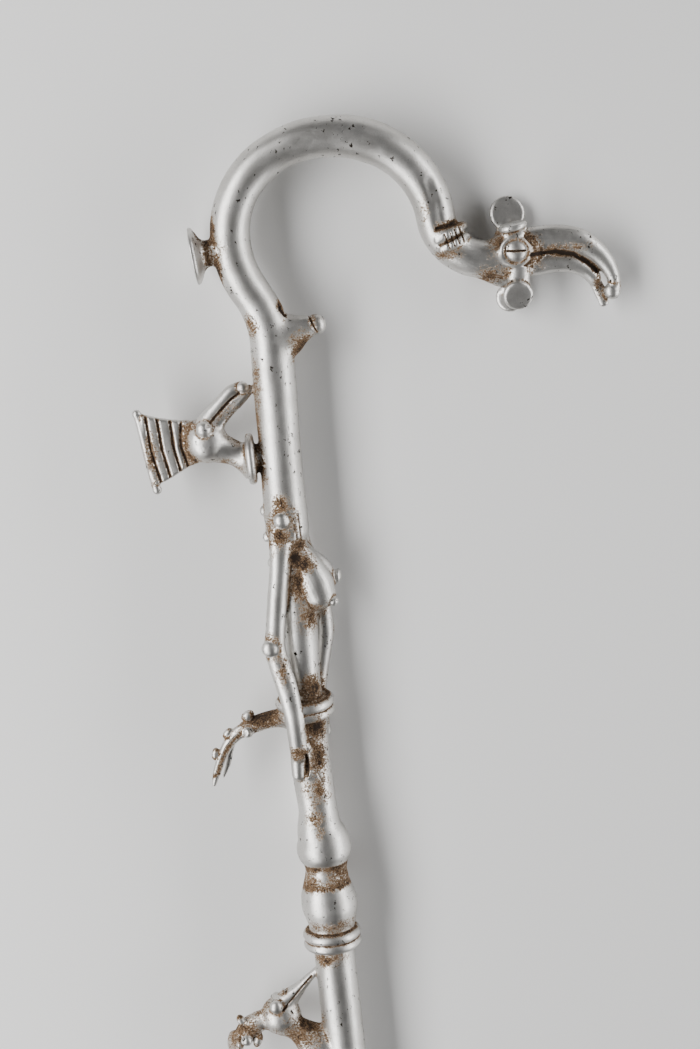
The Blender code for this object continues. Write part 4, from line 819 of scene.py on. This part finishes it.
# Then the patches (centre, reach, strength) of brown deposit, the heaviest of them near-black painted
# shade, on the near side where they show and on the far side alike
stain_and_shade_patches = (
    # Round the dish's stem and back: heavy patches, painted shade near black over brown deposit
    ((-23.6, 1141.0, 2), (2.4, 12, 9), 1.1),
    ((-22.6, 1121.0, 3), (2.4, 13, 9), 1.1),
    ((-27.8, 1130.0, 0), (3.6, 9, 9), 1.7),
    ((-31.5, 1141.0, 0), (3.0, 5, 8), 1.1),
    ((-21.0, 1131.0, 0), (8, 10, 9), 0.9),
    # Round the collar
    ((111.0, 1132.5, 6), (8, 3, 8), 1.1),
    ((108.0, 1116.0, 8), (8, 3, 6), 0.9),
    # The peg, and down the neck
    ((27.0, 1085.0, 3), (3, 7, 7), 0.55),
    ((20.0, 1072.0, 4), (8, 9, 8), 0.95),
    ((11.0, 1097.0, 4), (4, 4, 8), 1.0),
    ((-8.4, 1086.6, 8), (5, 7, 6), 0.75),
    ((-8.0, 1054.0, 6), (4, 16, 6), 0.6),
    ((-11.5, 1030.0, 4), (3, 26, 8), 0.85),
    ((-12.0, 1003.0, 3), (4, 12, 10), 0.95),
    # Round the shoulder, the armpit and the chest
    ((-2.0, 981.5, 12), (5, 6, 6), 0.95),
    ((-4.6, 964.0, 12), (6, 6, 6), 1.0),
    ((3.0, 972.0, 11), (5, 12, 6), 0.5),
    ((-9.4, 962.0, 8), (5, 16, 6), 0.7),
    ((4.5, 956.0, 9), (9, 5, 8), 0.85),
    # The armpit's two heavy patches are painted shadow, near black in the hollow over brown deposit
    ((3.0, 949.5, 9), (4.2, 5.0, 8), 1.6),
    ((7.0, 946.0, 9), (6.5, 6.0, 8), 1.15),
    ((3.0, 934.0, 8), (5, 12, 8), 1.1),
    ((9.0, 913.0, 9), (9, 9, 8), 0.85),
    ((15.5, 918.0, 4), (3, 10, 8), 0.8),
    # Above the belt, along the arm, and the streak below the belt
    ((4.5, 869.0, 9), (9, 9, 8), 1.05),
    ((-15.8, 903.5, 14), (5, 4, 6), 0.9),
    ((-11.4, 884.0, 16), (4, 10, 6), 0.72),
    ((-7.6, 833.0, 14), (6, 5, 6), 1.0),
    ((3.8, 847.0, 10), (8, 8, 8), 1.15),
    ((3.0, 829.0, 10), (6, 13, 8), 0.95),
    ((1.0, 807.0, 11), (8, 10, 8), 0.72),
    ((-2.3, 790.0, 12), (6, 6, 8), 0.66),
    ((-0.3, 781.0, 12), (3, 4, 6), 0.6),
    # Above and below the lower ring
    ((1.0, 721.0, 10), (16, 4, 12), 0.72),
    ((-4.0, 699.5, 10), (10, 4, 12), 0.95),
    # The tail's root, the lower bird and the upper bird
    ((-27.0, 853.0, 0), (15, 7, 10), 1.25),
    ((-25.0, 652.0, 0), (15, 13, 12), 1.1),
    ((-47.9, 668.0, 0), (10, 9, 12), 0.52),
    ((-59.0, 654.0, 0), (14, 11, 9), 1.05),
    ((-31.0, 1006.0, 0), (14, 6, 10), 0.75),
    ((-23.0, 1029.0, 0), (7, 10, 7), 0.95),
    ((-24.5, 1041.5, 0), (9, 4, 4), 0.65),
    ((-49.5, 1032.0, 2), (6, 3, 6), 0.85),
    ((-50.4, 1012.5, 2), (6, 4, 6), 0.85),
    ((-52.5, 1022.0, 0), (3.2, 14, 6), 1.0),
    ((-73.5, 1018.0, 2), (4, 14, 6), 0.7),
    # The big bird's head and beak, and the bend before it
    ((131.0, 1102.0, 3), (8, 7, 9), 0.95),
    ((133.5, 1112.0, 3), (5, 14, 9), 0.7),
    ((158.0, 1112.0, 3), (5, 10, 9), 0.75),
    ((hx + 47, hy - 23.0, 3), (3, 7, 4), 0.85),
    ((hx + 30, hy + 1.0, 5), (16, 3, 5), 0.55),
    ((97.0, 1144.0, 6), (3, 12, 7), 0.5),
)
for (x, y, z), size, strength in stain_and_shade_patches:
    for side, share in ((1, 1.0), (-1, 0.75)):
        if z == 0 and side == -1:
            continue
        stain_and_shade(strength * share * spread(surface.at, (x, y, z * side), size))

# The beads themselves are rubbed bright, but the eye's slit stays dark: heavy dirt, near-black painted
# shade in the slit
for centre, radius in beads:
    away = np.linalg.norm(surface.at - np.array(centre), axis=1) - radius
    deposit_and_shade *= 1.0 - 0.85 * np.clip(1.0 - away / 0.4, 0.0, 1.0)
for side in (1, -1):
    line_mark(EYE_SLIT, 0.5, 0.0, side, low_z=9.0, dirt_and_shade=1.6, dirt_width=1.1)
surface.turn_normals()


# The casting


def lay_down(at):
    """From the staff's own frame to metres, the way it lies."""
    turn = np.array(Euler([math.radians(a) for a in LYING_TURN]).to_matrix())
    return (at @ turn.T - np.array(LYING_MIDDLE)) * 0.001


def ripple(at):
    """The slight unevenness of hand-worked wax, in millimetres."""
    x, y, z = at.T
    swell = np.sin(x * 0.19 + 1.7 * np.sin(y * 0.031) + z * 0.11) * np.sin(y * 0.083 + z * 0.13)
    swell += 0.6 * np.sin(x * 0.31 - y * 0.17 + 1.1) * np.sin(z * 0.27 + y * 0.052)
    return 0.09 * swell


def shaft_profile():
    """The plain shaft from its start down to the foot: (height, radius), with a ring near the foot."""
    plain_rows, ring_rows = 28, 17
    tip_height, tip_radius, taper_height = 2.0, 11.0, 24.0
    profile = [(y, SHAFT_RADIUS) for y in np.linspace(SHAFT_START - 8, FOOT_RING_HEIGHT + 14, plain_rows)]
    profile.append((38.4, 12.6))
    for angle in np.radians(np.linspace(30, 150, ring_rows)):
        height = FOOT_RING_HEIGHT + WIRE_RADIUS * math.cos(angle)
        profile.append((height, WIRE_REACH + WIRE_RADIUS * math.sin(angle)))
    profile += [(29.6, 12.6), (26.0, 12.5)]
    for y in (20.0, 14.0, 8.0, 2.0):
        profile.append((y, tip_radius + (SHAFT_RADIUS - tip_radius) * (y - tip_height) / taper_height))
    return profile + [(1.2, 10.7), (0.5, 10.2), (0.12, 9.6), (0.0, 8.6), (0.0, 5.0), (0.0, 1.5)]


def draw_out_shaft(shape):
    """Cuts the shape flat at the shaft's start and draws the plain shaft out below it."""
    geometry = [*shape.verts, *shape.edges, *shape.faces]
    cut = bmesh.ops.bisect_plane(
        shape, geom=geometry, plane_co=(0, SHAFT_START, 0), plane_no=(0, -1, 0), clear_outer=True, dist=1e-4
    )
    rim = [e for e in cut["geom_cut"] if isinstance(e, bmesh.types.BMEdge)]
    brown_and_shade = shape.verts.layers.float["deposit_and_shade"]
    for y, radius in shaft_profile():
        made = bmesh.ops.extrude_edge_only(shape, edges=rim)["geom"]
        rim = [g for g in made if isinstance(g, bmesh.types.BMEdge)]
        # Brown in the corners above and below the foot ring, and a film that fades out over it
        corners = math.exp(-(((y - 38.2) / 1.6) ** 2)) + math.exp(-(((y - 29.8) / 1.6) ** 2))
        film = math.exp(-(((y - 44) / 4.0) ** 2))
        for vert in (g for g in made if isinstance(g, bmesh.types.BMVert)):
            around = math.atan2(vert.co.z, vert.co.x)
            vert.co = (radius * math.cos(around), y, radius * math.sin(around))
            vert[brown_and_shade] = 0.9 * min(1.0, corners) + 0.55 * film
    bmesh.ops.edgeloop_fill(shape, edges=rim)


def casting():
    """One closed mesh: the fused surface, lightened, with the plain shaft drawn out below it."""
    at = surface.at + surface.normals * ripple(surface.at)[:, None]
    mesh = bpy.data.meshes.new("staff_casting_full")
    mesh.from_pydata(at.tolist(), [], surface.quads.tolist())
    brown_and_shade = mesh.attributes.new("deposit_and_shade", "FLOAT", "POINT")
    brown_and_shade.data.foreach_set("value", deposit_and_shade.astype(np.float32))
    piece = bpy.data.objects.new("staff_casting_full", mesh)
    bpy.context.scene.collection.objects.link(piece)
    lighten = piece.modifiers.new("lighten", "DECIMATE")
    lighten.ratio = TRIANGLES_KEPT / (2 * len(surface.quads))
    graph = bpy.context.evaluated_depsgraph_get()
    mesh = bpy.data.meshes.new_from_object(piece.evaluated_get(graph))
    piece.modifiers.clear()
    piece.data = mesh

    shape = bmesh.new()
    shape.from_mesh(mesh)
    draw_out_shaft(shape)
    bmesh.ops.recalc_face_normals(shape, faces=shape.faces)
    if shape.calc_volume(signed=True) < 0:
        bmesh.ops.reverse_faces(shape, faces=shape.faces)
    bmesh.ops.triangulate(shape, faces=shape.faces)
    for face in shape.faces:
        face.smooth = True
    shape.to_mesh(mesh)
    shape.free()

    at = np.zeros(len(mesh.vertices) * 3)
    mesh.vertices.foreach_get("co", at)
    low, high = (np.array(corner) for corner in cad_box)
    at = np.clip(lay_down(at.reshape(-1, 3)), low, high)
    mesh.vertices.foreach_set("co", at.ravel())
    mesh.update()
    return piece


# The metal


def shader_tools(material):
    """Short names for what builds a material's nodes."""
    material.use_nodes = True
    tree = material.node_tree
    tree.nodes.clear()

    def node(kind, **settings):
        made = tree.nodes.new(kind)
        # A setting is an input's value or the node's own
        for key, setting in settings.items():
            if key in made.inputs.keys():
                made.inputs[key].default_value = setting
            else:
                setattr(made, key, setting)
        return made

    def link(source, target):
        tree.links.new(source, target)

    def maths(operation, a, b=None, clamp=False):
        made = node("ShaderNodeMath", operation=operation, use_clamp=clamp)
        for socket, value in zip(made.inputs, (a, b)):
            if value is None:
                continue
            if isinstance(value, (int, float)):
                socket.default_value = value
            else:
                link(value, socket)
        return made.outputs[0]

    def noise(vector, scale, detail=3.0, roughness=0.55):
        made = node("ShaderNodeTexNoise", Scale=scale, Detail=detail, Roughness=roughness)
        link(vector, made.inputs["Vector"])
        return made.outputs["Fac"]

    def ramp(value, low, high):
        made = node("ShaderNodeMapRange", interpolation_type="SMOOTHSTEP")
        made.inputs["From Min"].default_value = low
        made.inputs["From Max"].default_value = high
        link(value, made.inputs["Value"])
        return made.outputs["Result"]

    def mix(factor, a, b):
        made = node("ShaderNodeMix", data_type="RGBA")
        link(factor, made.inputs[0])
        for socket, value in ((made.inputs[6], a), (made.inputs[7], b)):
            if isinstance(value, tuple):
                socket.default_value = (*value, 1.0)
            else:
                link(value, socket)
        return made.outputs[2]

    return node, link, maths, noise, ramp, mix


def cast_metal():
    """Satin silver-coloured cast metal with casting pits and brown deposit in its hollows, turned near
    black as painted shade where it is heaviest.
    """
    material = bpy.data.materials.new("cast_silver_metal_worn_and_shaded")
    node, link, maths, noise, ramp, mix = shader_tools(material)
    place = node("ShaderNodeTexCoord").outputs["Object"]
    broad = noise(place, 45.0, 2.0)
    middle = noise(place, 230.0, 3.0)
    fine = noise(place, 1000.0, 3.0, 0.65)
    speck = noise(place, 2600.0, 2.0, 0.7)

    # Deposit: the painted amount, broken up into specks where it is thin; where it is deep it turns near
    # black, painted shade in the deepest hollows and slots
    amount = node("ShaderNodeAttribute", attribute_name="deposit_and_shade").outputs["Fac"]
    ragged = maths("MULTIPLY", maths("SUBTRACT", middle, 0.5), 1.1)
    grainy = maths("MULTIPLY", maths("SUBTRACT", fine, 0.5), 1.9)
    level = maths("ADD", maths("ADD", amount, ragged), grainy)
    covered = maths("MULTIPLY", ramp(level, 0.36, 0.62), ramp(amount, 0.03, 0.2))
    dusty = maths("MULTIPLY", ramp(level, 0.10, 0.55), ramp(amount, 0.03, 0.25))
    deep = ramp(maths("ADD", level, maths("MULTIPLY", maths("SUBTRACT", speck, 0.5), 1.2)), 0.6, 1.08)

    # Casting pits: small ragged holes, drawn out along the staff, here and there in clusters
    bend = node("ShaderNodeTexNoise", Scale=520.0)
    link(place, bend.inputs["Vector"])
    shift = node("ShaderNodeVectorMath", operation="SCALE", Scale=0.0045)
    link(bend.outputs["Color"], shift.inputs[0])
    bent = node("ShaderNodeVectorMath", operation="ADD")
    link(place, bent.inputs[0])
    link(shift.outputs[0], bent.inputs[1])
    drawn = node("ShaderNodeVectorMath", operation="MULTIPLY")
    drawn.inputs[1].default_value = (1.0, 0.5, 1.0)
    link(bent.outputs[0], drawn.inputs[0])
    cells = node("ShaderNodeTexVoronoi", Scale=400.0)
    link(drawn.outputs[0], cells.inputs["Vector"])
    chosen = node("ShaderNodeSeparateColor")
    link(cells.outputs["Color"], chosen.inputs[0])
    cluster = maths("MULTIPLY", ramp(noise(place, 60.0, 3.0), 0.46, 0.62), 0.65)
    picked = maths("LESS_THAN", chosen.outputs[0], maths("ADD", cluster, 0.1))
    size = maths("ADD", maths("MULTIPLY", chosen.outputs[1], 0.22), 0.13)
    hole = maths("SUBTRACT", 1.0, ramp(maths("DIVIDE", cells.outputs["Distance"], size), 0.6, 1.15))
    pits = maths("MULTIPLY", hole, picked)

    # Two silvers in broad areas, a darker grain in them, a tan film near the deposit, then the deposit,
    # near black as painted shade where it is deep
    silver = mix(ramp(broad, 0.3, 0.7), PALE_SILVER, DULL_SILVER)
    silver = mix(maths("MULTIPLY", ramp(fine, 0.4, 0.8), 0.4), silver, DARK_GRAIN)
    silver = mix(maths("MULTIPLY", dusty, 0.72), silver, TAN_FILM)
    brown_and_shade = mix(ramp(speck, 0.35, 0.65), BROWN, DARK_BROWN)
    brown_and_shade = mix(deep, brown_and_shade, DEEP_SHADE_BROWN)
    colour = mix(covered, silver, brown_and_shade)
    colour = mix(pits, colour, PIT_COLOUR)

    dull = maths("MAXIMUM", covered, maths("MULTIPLY", pits, 0.6))
    rough = maths("ADD", maths("MULTIPLY", middle, 0.14), maths("MULTIPLY", fine, 0.12))
    rough = maths("ADD", rough, 0.29)
    rough = maths("ADD", rough, maths("MULTIPLY", dull, 0.42), clamp=True)

    # The skin's fine unevenness, coarser on the deposit
    height = maths("MULTIPLY", fine, 0.3)
    height = maths("ADD", height, maths("MULTIPLY", speck, 0.08))
    height = maths("ADD", height, maths("MULTIPLY", middle, 0.10))
    height = maths("ADD", height, maths("MULTIPLY", maths("MULTIPLY", covered, speck), 0.55))
    bump = node("ShaderNodeBump", Strength=0.9, Distance=0.00035)
    link(height, bump.inputs["Height"])

    shader = node("ShaderNodeBsdfPrincipled")
    shader.inputs["Specular IOR Level"].default_value = 0.3
    link(colour, shader.inputs["Base Color"])
    link(maths("SUBTRACT", 1.0, maths("MULTIPLY", covered, 0.92)), shader.inputs["Metallic"])
    link(rough, shader.inputs["Roughness"])
    link(bump.outputs["Normal"], shader.inputs["Normal"])
    link(shader.outputs[0], node("ShaderNodeOutputMaterial").inputs["Surface"])
    return material


def floor_paper():
    """Plain pale studio paper."""
    material = bpy.data.materials.new("studio_floor")
    node, link, _, noise, _, mix = shader_tools(material)
    place = node("ShaderNodeTexCoord").outputs["Object"]
    shade = noise(place, 900.0, 2.0)
    colour = mix(shade, (0.74, 0.735, 0.725), (0.78, 0.775, 0.765))
    shader = node("ShaderNodeBsdfPrincipled", Roughness=0.9)
    shader.inputs["Specular IOR Level"].default_value = 0.15
    link(colour, shader.inputs["Base Color"])
    link(shader.outputs[0], node("ShaderNodeOutputMaterial").inputs["Surface"])
    return material


def soft_light(name, place, target, size, power):
    """A plain rectangular light of this (width, length) in metres and power in watts."""
    light = bpy.data.lights.new(name, "AREA")
    light.shape = "RECTANGLE"
    light.size, light.size_y = size
    light.energy = power
    lamp = bpy.data.objects.new(name, light)
    bpy.context.scene.collection.objects.link(lamp)
    # The long side runs along the staff
    back = (Vector(place) - Vector(target)).normalized()
    side = Vector((0, 1, 0)).cross(back).normalized()
    axes = Matrix((side, back.cross(side), back)).transposed()
    lamp.matrix_world = Matrix.Translation(place) @ axes.to_4x4()


def photo_camera():
    """The photograph's camera, carried along with the staff to where it lies."""
    tilt, roll = math.radians(CAMERA_TILT), math.radians(CAMERA_ROLL)
    look = -np.array([0.0, math.sin(tilt), math.cos(tilt)])
    up = np.array([0.0, math.cos(tilt), -math.sin(tilt)])
    right = np.array([1.0, 0.0, 0.0])
    across = right * math.cos(roll) - up * math.sin(roll)
    upward = right * math.sin(roll) + up * math.cos(roll)
    eye = np.array(CAMERA_TARGET) - look * CAMERA_DISTANCE
    turn = np.array(Euler([math.radians(a) for a in LYING_TURN]).to_matrix())
    axes = Matrix([list(turn @ v) for v in (across, upward, -look)]).transposed()
    camera_data = bpy.data.cameras.new("photo_camera")
    camera_data.sensor_fit = "VERTICAL"
    camera_data.sensor_height = 36.0
    camera_data.lens = CAMERA_LENS
    camera_data.clip_start = 0.05
    camera = bpy.data.objects.new("photo_camera", camera_data)
    bpy.context.scene.collection.objects.link(camera)
    camera.matrix_world = Matrix.Translation(lay_down(eye[None])[0]) @ axes.to_4x4()
    bpy.context.scene.camera = camera


piece = casting()
piece.data.materials.clear()
piece.data.materials.append(cast_metal())
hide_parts("staff_casting")
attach(piece, "root")

floor_mesh = bpy.data.meshes.new("studio_floor")
corners = [(x * FLOOR_HALF, y * FLOOR_HALF, 0) for x, y in ((-1, -1), (1, -1), (1, 1), (-1, 1))]
floor_mesh.from_pydata(corners, [], [(0, 1, 2, 3)])
floor_mesh.materials.append(floor_paper())
floor = bpy.data.objects.new("studio_floor", floor_mesh)
floor.location.z = -FLOOR_DROP
bpy.context.scene.collection.objects.link(floor)

soft_light("light_left", (-1.0, 0.35, 0.85), LIT_PLACE, (0.55, 2.4), 46.0)
soft_light("light_right", (1.25, 0.35, 0.42), LIT_PLACE, (0.35, 2.4), 26.0)
world = bpy.data.worlds.new("studio")
bpy.context.scene.world = world
world.use_nodes = True
world.node_tree.nodes["Background"].inputs["Color"].default_value = (0.75, 0.77, 0.8, 1.0)
world.node_tree.nodes["Background"].inputs["Strength"].default_value = 0.05
photo_camera()
